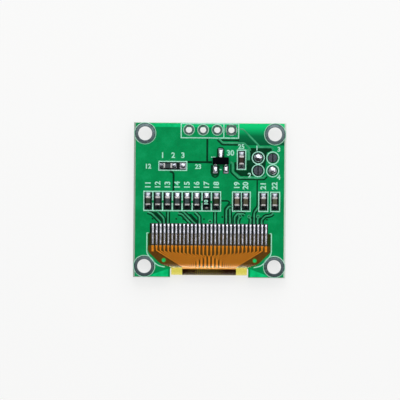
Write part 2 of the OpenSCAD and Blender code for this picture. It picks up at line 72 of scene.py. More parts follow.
# The tail's layers: base film, copper, glue and cover film
FILM_T = 0.05
COPPER_T = 0.035
GLUE_T = 0.01
COVER_T = 0.05
FILM_Z = FILM_HIGH.z - FILM_T
FINGER_Z = FILM_HIGH.z + COPPER_T
LOWER_Z = FILM_LOW.z + FILM_T
FOLD_R = (FILM_Z - LOWER_Z) / 2
FOLD_Z = (FILM_Z + LOWER_Z) / 2
FOLD_Y = FILM_LOW.y + FOLD_R + FILM_T
TAIL_Y = FILM_HIGH.y
COVER_Y = box_mm("tail_cover")[1].y
TAIL_HALF = FILM_HIGH.x
# The lower run ends where the film is bonded to the ledge
LEDGE_Y = box_mm("front_glass")[0].y
FILM_END_Y = LEDGE_Y + 1.2
COVER_END_Y = LEDGE_Y - 0.15
# Its shoulders and locating holes
NOTCH_Y = FOLD_Y + 0.23
SHOULDER_GAP = 0.15
SHOULDER_Y = NOTCH_Y + SHOULDER_GAP
NECK_HALF = 6.8
LOCATING_INSET = 2.85
LOCATING_RISE = 1.15
LOCATING_R = 0.32
# How it lifts where it comes to its fold
SPRING = 0.17
SPRING_Y = FOLD_Y - 0.05
SPRING_REACH = 0.5
# Its copper. Neighbouring tracks in the middle are drawn together in pairs at the fold
FINGERS = 30
FINGER_PITCH = 0.7
FINGER_W = 0.4
NECK_PITCH = 0.345
TRACK_W = 0.165
BEND_TRACK_W = 0.335
PAIRED = range(8, 22)
PAIR_SHIFT = 0.08

# Vertices nearer than this are one
MERGE = 0.0004


# Colour and material helpers


def to_linear(code):
    """An sRGB hex colour as the linear values that a shader takes."""
    channels = [int(code[i : i + 2], 16) / 255 for i in (1, 3, 5)]
    linear = [c / 12.92 if c <= 0.04045 else ((c + 0.055) / 1.055) ** 2.4 for c in channels]
    return (*linear, 1.0)


def shades(*stops):
    """A colour ramp's stops, from pairs of a place on it and an sRGB hex colour."""
    return [(place, to_linear(code)) for place, code in stops]


def add(tree, kind, inputs=None, stops=None, **settings):
    """Adds a node with its settings, its values and its links, and returns it."""
    node = tree.nodes.new(kind)
    for key, value in settings.items():
        setattr(node, key, value)
    if stops:
        ramp = node.color_ramp
        while len(ramp.elements) < len(stops):
            ramp.elements.new(0.5)
        for element, (place, colour) in zip(ramp.elements, stops):
            element.position = place
            element.color = colour
    for key, value in (inputs or {}).items():
        if isinstance(value, bpy.types.Node):
            value = value.outputs[0]
        if isinstance(value, bpy.types.NodeSocket):
            tree.links.new(value, node.inputs[key])
        else:
            node.inputs[key].default_value = value
    return node


def new_material(name):
    """An empty node material and its tree."""
    material = bpy.data.materials.new(name)
    material.use_nodes = True
    material.node_tree.nodes.clear()
    return material, material.node_tree


def per_mm(size):
    """A pattern's scale for a feature of this many millimetres, on coordinates in metres."""
    return 1 / (size * MM)


# A wave texture of scale 1 has this period
BAND = math.tau / 20
WHITE = to_linear("#FFFFFF")


def fade_along(tree, axis, start, end, full=1.0):
    """Rises from 0 at one place along an axis to full at another, both in millimetres."""
    place = add(tree, "ShaderNodeTexCoord").outputs["Object"]
    along = add(tree, "ShaderNodeSeparateXYZ", {"Vector": place}).outputs[axis]
    return add(tree, "ShaderNodeMapRange", {"Value": along, 1: start * MM, 2: end * MM, 3: 0.0, 4: full})


def flat_faces(tree):
    """The surface's direction by axis, and a mask that is 1 on flat faces and 0 on edges."""
    direction = add(tree, "ShaderNodeNewGeometry").outputs["Normal"]
    facing = add(tree, "ShaderNodeSeparateXYZ", {"Vector": direction})
    upright = add(tree, "ShaderNodeMath", {0: facing.outputs["Z"]}, operation="ABSOLUTE")
    return facing, add(tree, "ShaderNodeMath", {0: upright, 1: 0.9}, operation="GREATER_THAN")


def seen_rays(tree):
    """1 for what the camera, metal and glass look at, and 0 for light that falls on the rest."""
    ray = add(tree, "ShaderNodeLightPath")
    seen = ray.outputs["Is Camera Ray"]
    for kind in ("Is Glossy Ray", "Is Transmission Ray"):
        seen = add(tree, "ShaderNodeMath", {0: seen, 1: ray.outputs[kind]}, operation="MAXIMUM")
    return seen


def clouded(name, grain_mm, stops, relief, finish, detail=4, roughness=0.5):
    """A material whose colour and skin follow one noise pattern. Relief is the strength and
    the depth in millimetres of its bumps, and finish holds the shader's other values."""
    material, tree = new_material(name)
    pattern = add(
        tree,
        "ShaderNodeTexNoise",
        {
            "Vector": add(tree, "ShaderNodeTexCoord").outputs["Object"],
            "Scale": per_mm(grain_mm),
            "Detail": detail,
            "Roughness": roughness,
        },
    )
    colour = add(tree, "ShaderNodeValToRGB", {"Fac": pattern}, stops=stops)
    strength, depth_mm = relief
    skin = add(tree, "ShaderNodeBump", {"Height": pattern, "Strength": strength, "Distance": depth_mm * MM})
    shader = add(tree, "ShaderNodeBsdfPrincipled", {"Base Color": colour, "Normal": skin, **finish})
    add(tree, "ShaderNodeOutputMaterial", {"Surface": shader})
    return material


# Mesh helpers


def finish_piece(bm, name, material, stands_for=(), smooth_below=40):
    """Closes a bmesh built in millimetres into a finished piece that rides on the module."""
    bmesh.ops.remove_doubles(bm, verts=bm.verts, dist=MERGE)
    bmesh.ops.recalc_face_normals(bm, faces=bm.faces)
    bmesh.ops.scale(bm, vec=(MM, MM, MM), verts=bm.verts)
    mesh = bpy.data.meshes.new(name)
    bm.to_mesh(mesh)
    bm.free()
    mesh.materials.append(material)
    mesh.shade_smooth()
    mesh.set_sharp_from_angle(angle=math.radians(smooth_below))
    piece = bpy.data.objects.new(name, mesh)
    bpy.context.scene.collection.objects.link(piece)
    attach(piece, "root")
    if stands_for:
        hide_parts(*stands_for)
    return piece


def round_corners(path, radius, steps=5):
    """The path with each inner corner turned into a short arc of steps pieces."""
    points = [Vector(p) for p in path]
    out = []
    for i, point in enumerate(points):
        if i in (0, len(points) - 1):
            out.append(point)
            continue
        before = points[i - 1] - point
        after = points[i + 1] - point
        reach = min(radius, before.length / 2.1, after.length / 2.1)
        start = point + before.normalized() * reach
        end = point + after.normalized() * reach
        for k in range(steps + 1):
            t = k / steps
            out.append(start.lerp(point, t).lerp(point.lerp(end, t), t))
    return out


def verts_in(geometry):
    """The vertices among what an operator made."""
    return [v for v in geometry if isinstance(v, bmesh.types.BMVert)]


def edges_in(geometry):
    """The edges among what an operator made."""
    return [e for e in geometry if isinstance(e, bmesh.types.BMEdge)]


def rectangle(x0, y0, x1, y1):
    """The corners of an upright rectangle."""
    return [(x0, y0), (x1, y0), (x1, y1), (x0, y1)]


def add_mesh(bm, mesh, matrix):
    """Puts a placed copy of a mesh into the bmesh and drops the mesh."""
    mesh.transform(matrix)
    bm.from_mesh(mesh)
    bpy.data.meshes.remove(mesh)


def add_lines(bm, paths, width, height, base_z, corner=0.2):
    """Lines of ink or copper on a face: round strips along the paths, cut in half and
    pressed flat."""
    curve = bpy.data.curves.new("strip", "CURVE")
    curve.dimensions = "3D"
    curve.bevel_depth = width / 2
    curve.bevel_resolution = 2
    curve.use_fill_caps = True
    for path in paths:
        points = round_corners(path, corner)
        spline = curve.splines.new("POLY")
        spline.points.add(len(points) - 1)
        for place, point in zip(spline.points, points):
            place.co = (point.x, point.y, 0, 1)
    holder = bpy.data.objects.new("strip", curve)
    mesh = bpy.data.meshes.new_from_object(holder)
    strip = bmesh.new()
    strip.from_mesh(mesh)
    bpy.data.meshes.remove(mesh)
    bpy.data.objects.remove(holder)
    bpy.data.curves.remove(curve)
    bmesh.ops.scale(strip, vec=(1, 1, 2 * height / width), verts=strip.verts)
    bmesh.ops.bisect_plane(
        strip,
        geom=strip.verts[:] + strip.edges[:] + strip.faces[:],
        plane_co=(0, 0, 0),
        plane_no=(0, 0, -1),
        clear_outer=True,
    )
    bmesh.ops.remove_doubles(strip, verts=strip.verts, dist=0.0001)
    rim = [e for e in strip.edges if e.is_boundary]
    bmesh.ops.holes_fill(strip, edges=rim, sides=0)
    flat = bpy.data.meshes.new("strip")
    strip.to_mesh(flat)
    strip.free()
    add_mesh(bm, flat, Matrix.Translation((0, 0, base_z)))


def add_loop(bm, path, width, height, base_z):
    """A closed line of ink: a frame-shaped strip with square corners and a flat crown. Its
    inner edge is drawn up, across and down again to its outer edge."""
    corners = [Vector(p) for p in path]
    count = len(corners)
    sink = -0.004
    turns = []
    for i, point in enumerate(corners):
        before = (point - corners[i - 1]).normalized()
        after = (corners[(i + 1) % count] - point).normalized()
        out = Vector((before.y + after.y, -before.x - after.x)).normalized()
        turns.append(out * width / out.dot(Vector((before.y, -before.x))))
    profile = ((-0.5, sink), (-0.38, height), (0.38, height), (0.5, sink), (-0.5, sink))
    ring = []
    for k, (offset, z) in enumerate(profile):
        places = [(*(point + turn * offset), base_z + z) for point, turn in zip(corners, turns)]
        if k == 0:
            ring = [bm.verts.new(place) for place in places]
            edges = [bm.edges.new((ring[i - 1], ring[i])) for i in range(count)]
            continue
        grown = bmesh.ops.extrude_edge_only(bm, edges=edges)["geom"]
        fresh = set(verts_in(grown))
        ring = [next(e.other_vert(v) for e in v.link_edges if e.other_vert(v) in fresh) for v in ring]
        for v, place in zip(ring, places):
            v.co = place
        edges = [e for e in edges_in(grown) if set(e.verts) <= fresh]


def add_patch(bm, outline, base_z, height):
    """A flat patch of the given outline, standing a hair over its base."""
    verts = [bm.verts.new((x, y, base_z)) for x, y in outline]
    face = bm.faces.new(verts)
    raised = bmesh.ops.extrude_face_region(bm, geom=[face])
    bmesh.ops.translate(bm, vec=(0, 0, height), verts=verts_in(raised["geom"]))


def add_ring(bm, centre, profile, steps=48):
    """Spins a closed profile of (radius, height) points round an upright axis."""
    verts = [bm.verts.new((centre[0] + r, centre[1], z)) for r, z in profile]
    edges = [bm.edges.new((verts[i - 1], verts[i])) for i in range(len(verts))]
    bmesh.ops.spin(
        bm,
        geom=verts + edges,
        cent=(centre[0], centre[1], 0),
        axis=(0, 0, 1),
        angle=math.tau,
        steps=steps,
        use_merge=True,
    )


def add_rim(bm, centre, radii, height, steps=48):
    """A ring that stands on the board: its inner foot, both edges of its crown and its
    outer foot as radii."""
    inner, crown_from, crown_to, outer = radii
    top = BOARD_TOP + height
    profile = [(inner, BOARD_TOP), (crown_from, top), (crown_to, top), (outer, BOARD_TOP)]
    add_ring(bm, centre, profile, steps)


def add_disc(bm, centre, radius, base_z, height, segments=24):
    """A low round disc with a chamfered edge."""
    matrix = Matrix.Translation((centre[0], centre[1], base_z + height / 2))
    bmesh.ops.create_cone(
        bm,
        cap_ends=True,
        segments=segments,
        radius1=radius,
        radius2=radius * 0.92,
        depth=height,
        matrix=matrix,
    )


def add_land(bm, mid, size):
    """A flat land of metal with rounded corners."""
    matrix = Matrix.Translation(mid) @ Matrix.Diagonal((*size, 1))
    made = bmesh.ops.create_cube(bm, size=1, matrix=matrix)["verts"]
    edges = {e for v in made for e in v.link_edges}
    upright = [e for e in edges if abs((e.verts[0].co - e.verts[1].co).z) > 1e-4]
    bmesh.ops.bevel(
        bm,
        geom=upright,
        offset=0.1,
        segments=4,
        profile=0.5,
        affect="EDGES",
        material=-1,
        offset_type="OFFSET",
    )


def add_dome(bm, mid, radii, base_z, height, seed):
    """A lumpy dome of solder, flat underneath."""
    ball = bmesh.ops.create_uvsphere(bm, u_segments=32, v_segments=24, radius=1)["verts"]
    for v in ball:
        lump = 1 + 0.16 * noise.noise(v.co * 1.9 + Vector((seed * 7.0, 0, 3)))
        rise = max(v.co.z, -0.02) * height * lump
        v.co = Vector((v.co.x * radii[0] * lump, v.co.y * radii[1] * lump, rise))
        v.co += Vector((mid.x, mid.y, base_z))


def add_number(bm, text, centre, cap_height, turn, base_z, height):
    """A plain number in ink, centred on its place."""
    curve = bpy.data.curves.new("number", "FONT")
    curve.body = text
    curve.size = cap_height / 0.7
    curve.align_x = "CENTER"
    curve.align_y = "CENTER"
    curve.offset = 0.04
    curve.extrude = height / 2
    curve.resolution_u = 4
    holder = bpy.data.objects.new("number", curve)
    mesh = bpy.data.meshes.new_from_object(holder)
    bpy.data.objects.remove(holder)
    bpy.data.curves.remove(curve)
    place = Matrix.Translation((centre[0], centre[1], base_z + height / 2))
    add_mesh(bm, mesh, place @ Matrix.Rotation(math.radians(turn), 4, "Z"))


def add_bead(bm, place, turn, width, length, height_at, floor_at, seed, across=8, along=14, lumps=0.16):
    """A bead of solder that runs along Y from its place: a grid raised to a crowned, uneven
    skin over a floor, and closed underneath."""
    made = bmesh.ops.create_grid(bm, x_segments=across, y_segments=along, size=1)
    verts = made["verts"]
    faces = list({f for v in verts for f in v.link_faces})
    for v in verts:
        side, run = v.co.x, (v.co.y + 1) / 2
        wander = noise.noise(Vector((seed * 3.7, run * 3.1, side * 0.9)))
        lump = 1 + lumps * noise.noise(Vector((side * 1.3 + seed * 5.1, run * 4.7, seed)))
        ends = min(1.0, 22 * min(run, 1 - run)) ** 0.5
        narrow = 1 - 0.18 * (1 - ends)
        crown = (1 - abs(side) ** 3.2) * ends
        y = run * length
        v.co = (
            side * width / 2 * narrow * (1 + 0.05 * wander),
            y,
            floor_at(y) + 0.002 + height_at(y) * crown * lump,
        )
    rim = [e for e in {e for f in faces for e in f.edges} if len(e.link_faces) == 1]
    skirt = bmesh.ops.extrude_edge_only(bm, edges=rim)
    lower = verts_in(skirt["geom"])
    for v in lower:
        v.co.z = floor_at(v.co.y) - 0.01
    base_edges = [e for e in edges_in(skirt["geom"]) if all(v in lower for v in e.verts)]
    bmesh.ops.holes_fill(bm, edges=base_edges, sides=0)
    matrix = Matrix.Translation((place[0], place[1], 0)) @ Matrix.Rotation(turn, 4, "Z")
    bmesh.ops.transform(bm, matrix=matrix, verts=verts + lower)


def ribbon_offsets(path, widths):
    """The left and right points of a strip along a path, mitred at its corners."""
    points = [Vector(p) for p in path]
    pairs = []
    for i, point in enumerate(points):
        before = (point - points[i - 1]).normalized() if i else None
        after = (points[i + 1] - point).normalized() if i < len(points) - 1 else None
        before = before or after
        after = after or before
        left = Vector((before.y, -before.x)) + Vector((after.y, -after.x))
        left.normalize()
        spread = widths[i] / 2 / max(0.3, left.dot(Vector((before.y, -before.x))))
        pairs.append((point + left * spread, point - left * spread))
    return pairs


def fold_edge(bm, edge, radius, end_y):
    """Carries an edge of the tail round its fold and along its lower run."""
    turned = bmesh.ops.spin(
        bm,
        geom=[*edge.verts, edge],
        cent=(0, FOLD_Y, FOLD_Z),
        axis=(1, 0, 0),
        angle=math.pi,
        steps=40,
    )
    lower = bmesh.ops.extrude_edge_only(bm, edges=edges_in(turned["geom_last"]))
    for v in verts_in(lower["geom"]):
        v.co.y = end_y
        v.co.z = FOLD_Z - radius


# Materials


def solder_mask_board(colours):
    """Green solder mask over a fibreglass board: sprayed and cured, so it is glossy with a
    slight orange peel, and its green clouds where the coat is thicker. Over the corner right
    of the header, which has no copper, its green is painted from dark up to a bright band of
    reflected light at the top edge. Cut and scored edges show pale bare fibreglass with fine
    layers, with painted shade on the cut that faces left."""
    material, tree = new_material("solder mask on fibreglass")
    place = add(tree, "ShaderNodeTexCoord").outputs["Object"]
    cloud = add(
        tree,
        "ShaderNodeTexNoise",
        {"Vector": place, "Scale": per_mm(2.4), "Detail": 5, "Roughness": 0.62},
    )
    speck = add(tree, "ShaderNodeTexNoise", {"Vector": place, "Scale": per_mm(0.22), "Detail": 3})
    blend = add(tree, "ShaderNodeMath", {0: cloud, 1: 0.72}, operation="MULTIPLY")
    fine = add(tree, "ShaderNodeMath", {0: speck, 1: 0.28, 2: blend}, operation="MULTIPLY_ADD")
    stops = [
        (0.36, to_linear("#008449")),
        (0.5, (*colours.solder_mask, 1.0)),
        (0.64, to_linear("#0A9B5C")),
    ]
    mask = add(tree, "ShaderNodeValToRGB", {"Fac": fine}, stops=stops)
    past_edge = fade_along(tree, "Y", 9.9, 13.6)
    right_side = fade_along(tree, "X", 5.0, 5.6)
    lit = add(tree, "ShaderNodeMath", {0: past_edge, 1: right_side}, operation="MULTIPLY")
    # Painted reflection: right of the header the green runs from dark up to a bright band at the top edge
    corner_green_and_glare = add(
        tree,
        "ShaderNodeValToRGB",
        {"Fac": past_edge},
        stops=shades((0.0, "#005432"), (0.45, "#007042"), (0.92, "#06CF78")),
    )
    corner = add(tree, "ShaderNodeMath", {0: lit, 1: 0.001}, operation="GREATER_THAN")
    green = add(tree, "ShaderNodeMix", {0: corner, 6: mask, 7: corner_green_and_glare}, data_type="RGBA")
    layers = add(
        tree,
        "ShaderNodeTexWave",
        {"Vector": place, "Scale": per_mm(0.2) * BAND, "Distortion": 2.5, "Detail": 2, "Detail Scale": 1.5},
        wave_type="BANDS",
        bands_direction="Z",
    )
    laminate = add(
        tree,
        "ShaderNodeValToRGB",
        {"Fac": layers},
        stops=shades((0.2, "#B9CBBC"), (0.7, "#DCE8DC")),
    )
    facing, on_face = flat_faces(tree)
    # Painted shade: the cut that faces left, away from the lamp, is greyed
    left_shade_range = {"Value": facing.outputs["X"], 1: -0.2, 2: -0.6, 3: 0.0, 4: 0.75}
    left_side_shade = add(tree, "ShaderNodeMapRange", left_shade_range)
    sides = add(
        tree,
        "ShaderNodeMix",
        {0: left_side_shade, 6: laminate, 7: to_linear("#8FA394")},
        data_type="RGBA",
    )
    colour = add(
        tree,
        "ShaderNodeMix",
        {0: on_face, 6: sides.outputs[2], 7: green.outputs[2]},
        data_type="RGBA",
    )
    rough = add(tree, "ShaderNodeMapRange", {"Value": on_face, 3: 0.8, 4: 0.16})
    peel = add(tree, "ShaderNodeBump", {"Height": fine, "Strength": 0.08, "Distance": 0.02 * MM})
    shader = add(
        tree,
        "ShaderNodeBsdfPrincipled",
        {
            "Base Color": colour.outputs[2],
            "Roughness": rough,
            "Normal": peel,
            "IOR": 1.5,
            "Specular IOR Level": 0.1,
        },
    )
    add(tree, "ShaderNodeOutputMaterial", {"Surface": shader})
    return material


def mask_over(name, low, high, roughness=0.18, level=0.1):
    """Cured solder mask over something else: the same glossy skin, in the green that what
    lies under it gives."""
    finish = {"Roughness": roughness, "IOR": 1.5, "Specular IOR Level": level}
    return clouded(name, 0.9, shades((0.35, low), (0.65, high)), (0.08, 0.02), finish)


def printing_ink(colours):
    """White screen-printed ink, thin enough to take a hint of the green under it, with a
    grainy, slightly broken coat."""
    stops = [(0.32, to_linear("#78C4A2")), (0.52, (*colours.ink, 1.0)), (0.7, to_linear("#C8F4E6"))]
    finish = {"Roughness": 0.62, "Specular IOR Level": 0.3}
    return clouded("white screen-printed ink", 0.16, stops, (0.2, 0.01), finish, roughness=0.7)


def tinned_copper(name, low, high, grain_mm, rough_low, rough_high, wave=0.35, painted_shade=None):
    """Copper with a thin coat of hot-levelled tin: a soft grey metal with a wavy, frosted
    skin that is duller in some places than in others. Painted shade is a pair: the place
    along Y, in millimetres, below which the tin is painted dark for shade and the dark that it
    mirrors, and that dark colour."""
    material, tree = new_material(name)
    wavy = add(
        tree,
        "ShaderNodeTexNoise",
        {
            "Vector": add(tree, "ShaderNodeTexCoord").outputs["Object"],
            "Scale": per_mm(grain_mm),
            "Detail": 5,
            "Roughness": 0.6,
        },
    )
    stops = shades((0.34, low), (0.66, high))
    colour = add(tree, "ShaderNodeValToRGB", {"Fac": wavy}, stops=stops).outputs[0]
    if painted_shade:
        from_y, shade = painted_shade
        # Painted shade: below from_y the tin turns to the dark colour
        shade_share = fade_along(tree, "Y", from_y, from_y - 0.1, 0.85)
        values = {0: shade_share, 6: colour, 7: to_linear(shade)}
        colour = add(tree, "ShaderNodeMix", values, data_type="RGBA").outputs[2]
    rough = add(tree, "ShaderNodeMapRange", {"Value": wavy, 1: 0.3, 2: 0.7, 3: rough_high, 4: rough_low})
    skin = add(tree, "ShaderNodeBump", {"Height": wavy, "Strength": wave, "Distance": 0.03 * MM})
    shader = add(
        tree,
        "ShaderNodeBsdfPrincipled",
        {"Base Color": colour, "Metallic": 1.0, "Roughness": rough, "Normal": skin},
    )
    add(tree, "ShaderNodeOutputMaterial", {"Surface": shader})
    return material


# The share of red, green and blue light that one face of each film lets through, and the
# share that either film is given where it is bent, painted clearer for the bright light from behind
BASE_FILM_TINT = (1.0, 0.97, 0.68, 1.0)
COVER_FILM_TINT = (1.0, 0.955, 0.65, 1.0)
BACKLIT_BEND_TINT = (1.0, 0.985, 0.79, 1.0)


def polyimide(name, tint, body, share, grain_mm):
    """Amber polyimide film, cast and smooth: it tints whatever lies under it, carries a
    little amber of its own and has a glossy, faintly wavy face. Round the bend it is painted
    clearer, with less amber, for the bright light that comes through from behind. Only its
    outer faces mirror."""
    material, tree = new_material(name)
    place = add(tree, "ShaderNodeTexCoord").outputs["Object"]
    wave = add(tree, "ShaderNodeTexNoise", {"Vector": place, "Scale": per_mm(grain_mm), "Detail": 3})
    full = to_linear(body)
    thin = (*(c * 0.85 for c in full[:3]), 1.0)
    colour = add(tree, "ShaderNodeValToRGB", {"Fac": wave}, stops=[(0.3, thin), (0.7, full)])
    ripple = add(tree, "ShaderNodeBump", {"Height": wave, "Strength": 0.25, "Distance": 0.06 * MM})
    amber = add(tree, "ShaderNodeBsdfDiffuse", {"Color": colour})
    bend = fade_along(tree, "Y", FOLD_Y + 0.35, FOLD_Y - 0.1)
    haze = add(tree, "ShaderNodeMapRange", {"Value": bend, 3: share, 4: share * 0.1})
    # Painted light: round the bend the film's tint is lightened for the light from behind
    passed = add(tree, "ShaderNodeMix", {0: bend, 6: tint, 7: BACKLIT_BEND_TINT}, data_type="RGBA")
    clear = add(tree, "ShaderNodeBsdfTransparent", {"Color": passed.outputs[2]})
    film = add(tree, "ShaderNodeMixShader", {"Fac": haze, 1: clear, 2: amber})
    gloss = add(tree, "ShaderNodeBsdfGlossy", {"Color": WHITE, "Roughness": 0.14, "Normal": ripple})
    glance = add(tree, "ShaderNodeFresnel", {"IOR": 1.35, "Normal": ripple})
    inside = add(tree, "ShaderNodeNewGeometry").outputs["Backfacing"]
    outside = add(tree, "ShaderNodeMath", {0: 1.0, 1: inside}, operation="SUBTRACT")
    mirror = add(tree, "ShaderNodeMath", {0: glance, 1: outside}, operation="MULTIPLY")
    surface = add(tree, "ShaderNodeMixShader", {"Fac": mirror, 1: film, 2: gloss})
    add(tree, "ShaderNodeOutputMaterial", {"Surface": surface})
    return material


def etched_copper():
    """Rolled copper, etched into tracks: warm, slightly uneven and browned. Where it is bent it
    mirrors what is round it, and its colour is painted dark there for shade and dark reflection."""
    material, tree = new_material("etched rolled copper")
    place = add(tree, "ShaderNodeTexCoord").outputs["Object"]
    grain = add(tree, "ShaderNodeTexNoise", {"Vector": place, "Scale": per_mm(0.3), "Detail": 4})
    stops = shades((0.3, "#D88C3C"), (0.7, "#F6B05A"))
    flat = add(tree, "ShaderNodeValToRGB", {"Fac": grain}, stops=stops)
    bent = fade_along(tree, "Y", FOLD_Y + 0.08, FOLD_Y - 0.12)
    metal = add(tree, "ShaderNodeMapRange", {"Value": bent, 3: 0.45, 4: 1.0})
    # Painted shade: the copper round the fold is coloured dark
    colour = add(tree, "ShaderNodeMix", {0: bent, 6: flat, 7: to_linear("#3C2418")}, data_type="RGBA")
    shader = add(
        tree,
        "ShaderNodeBsdfPrincipled",
        {"Base Color": colour.outputs[2], "Metallic": metal, "Roughness": 0.42},
    )
    add(tree, "ShaderNodeOutputMaterial", {"Surface": shader})
    return material


def moulded_epoxy():
    """Black transfer-moulded epoxy: a dull charcoal with the fine grit of its glass filler."""
    stops = shades((0.35, "#000105"), (0.7, "#04050C"))
    finish = {"Roughness": 0.45, "Specular IOR Level": 0.03}
    return clouded("black moulded epoxy", 0.06, stops, (0.4, 0.01), finish)


def fired_ceramic(name, low, high):
    """Fired capacitor ceramic: a dense, dull earth colour with tiny darker pores."""
    stops = shades((0.32, low), (0.68, high))
    finish = {"Roughness": 0.5, "Specular IOR Level": 0.15}
    return clouded(name, 0.12, stops, (0.3, 0.01), finish, detail=5)


def resistor_ceramic(top_z):
    """White alumina with a dark glaze printed over its top: the glaze is smooth and nearly
    black, and the sides stay chalky."""
    material, tree = new_material("glazed alumina")
    place = add(tree, "ShaderNodeTexCoord").outputs["Object"]
    cloud = add(tree, "ShaderNodeTexNoise", {"Vector": place, "Scale": per_mm(0.2), "Detail": 4})
    stops = shades((0.35, "#2A3436"), (0.7, "#4A5658"))
    glaze = add(tree, "ShaderNodeValToRGB", {"Fac": cloud}, stops=stops)
    height = add(tree, "ShaderNodeSeparateXYZ", {"Vector": place}).outputs["Z"]
    glazed_from = (top_z - 0.1) * MM
    above = add(tree, "ShaderNodeMath", {0: height, 1: glazed_from}, operation="GREATER_THAN")
    colour = add(tree, "ShaderNodeMix", {0: above, 6: to_linear("#D9DAD4"), 7: glaze}, data_type="RGBA")
    rough = add(tree, "ShaderNodeMapRange", {"Value": above, 3: 0.75, 4: 0.35})
    shader = add(
        tree,
        "ShaderNodeBsdfPrincipled",
        {"Base Color": colour.outputs[2], "Roughness": rough, "Specular IOR Level": 0.2},
    )
    add(tree, "ShaderNodeOutputMaterial", {"Surface": shader})
    return material


def float_glass():
    """Thin display glass: clear with a faint green body, and a ground, frosted edge."""
    material, tree = new_material("thin float glass")
    place = add(tree, "ShaderNodeTexCoord").outputs["Object"]
    grind = add(tree, "ShaderNodeTexNoise", {"Vector": place, "Scale": per_mm(0.1), "Detail": 3})
    on_face = flat_faces(tree)[1]
    edge_rough = add(tree, "ShaderNodeMapRange", {"Value": grind, 3: 0.25, 4: 0.6})
    rough = add(tree, "ShaderNodeMix", {0: on_face, 2: edge_rough, 3: 0.04})
    shader = add(
        tree,
        "ShaderNodeBsdfPrincipled",
        {
            "Base Color": to_linear("#BFDCD2"),
            "Roughness": rough,
            "IOR": 1.52,
            "Transmission Weight": 0.85,
        },
    )
    add(tree, "ShaderNodeOutputMaterial", {"Surface": shader})
    return material


def plain_stock(name, low, high, grain_mm, roughness, level=0.5):
    """A plain sheet or paste whose colour clouds a little between two close shades."""
    finish = {"Roughness": roughness, "Specular IOR Level": level}
    return clouded(name, grain_mm, shades((0.35, low), (0.65, high)), (0.2, 0.01), finish)


def dress(node, material):
    """Gives a CAD node its material."""
    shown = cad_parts[node]
    shown.data.materials.clear()
    shown.data.materials.append(material)


# Sizes and colours that a user would change


class ModuleSizes(bpy.types.PropertyGroup):
    """Sizes of the ink, the tracks, the solder and the view"""

    ink_height: bpy.props.FloatProperty(
        name="Ink height",
        description="Height of the printed ink, in mm",
        default=0.022,
        min=0.005,
        max=0.06,
    )
    track_height: bpy.props.FloatProperty(
        name="Track height",
        description="How far a track stands out under the mask, in mm",
        default=0.03,
        min=0.01,
        max=0.08,
    )
    solder_height: bpy.props.FloatProperty(
        name="Solder height",
        description="Crown of the solder on the tail's fingers, in mm",
        default=0.085,
        min=0.03,
        max=0.2,
    )
    camera_distance: bpy.props.FloatProperty(
        name="Camera distance",
        description="From the board's face to the camera",
        default=0.6,
        unit="LENGTH",
    )
    view_width: bpy.props.FloatProperty(
        name="View width",
        description="Width of what the camera sees at the board",
        default=0.0717,
        unit="LENGTH",
    )


class ModuleColours(bpy.types.PropertyGroup):
    """Colours of the board and the floor"""

    solder_mask: bpy.props.FloatVectorProperty(
        name="Solder mask",
        description="Mask over copper",
        subtype="COLOR",
        size=3,
        default=to_linear("#008F50")[:3],
    )
    ink: bpy.props.FloatVectorProperty(
        name="Ink",
        description="Screen-printed ink",
        subtype="COLOR",
        size=3,
        default=to_linear("#A8E6D0")[:3],
    )
    floor: bpy.props.FloatVectorProperty(
        name="Floor",
        description="Studio floor",
        subtype="COLOR",
        size=3,
        default=to_linear("#EDEDEB")[:3],
    )


# The stage

# The camera stands beside the board's middle, in millimetres, and is turned, in degrees
CAMERA_ASIDE = (-1.73, 0.013)
CAMERA_TURN = 0.46
# Half the floor's side, in metres, and how far it lies under the part, in millimetres
FLOOR_HALF = 4
FLOOR_DROP = 0.01
# The even grey that lights everything which doesn't mirror
EVEN_LIGHT = 0.49


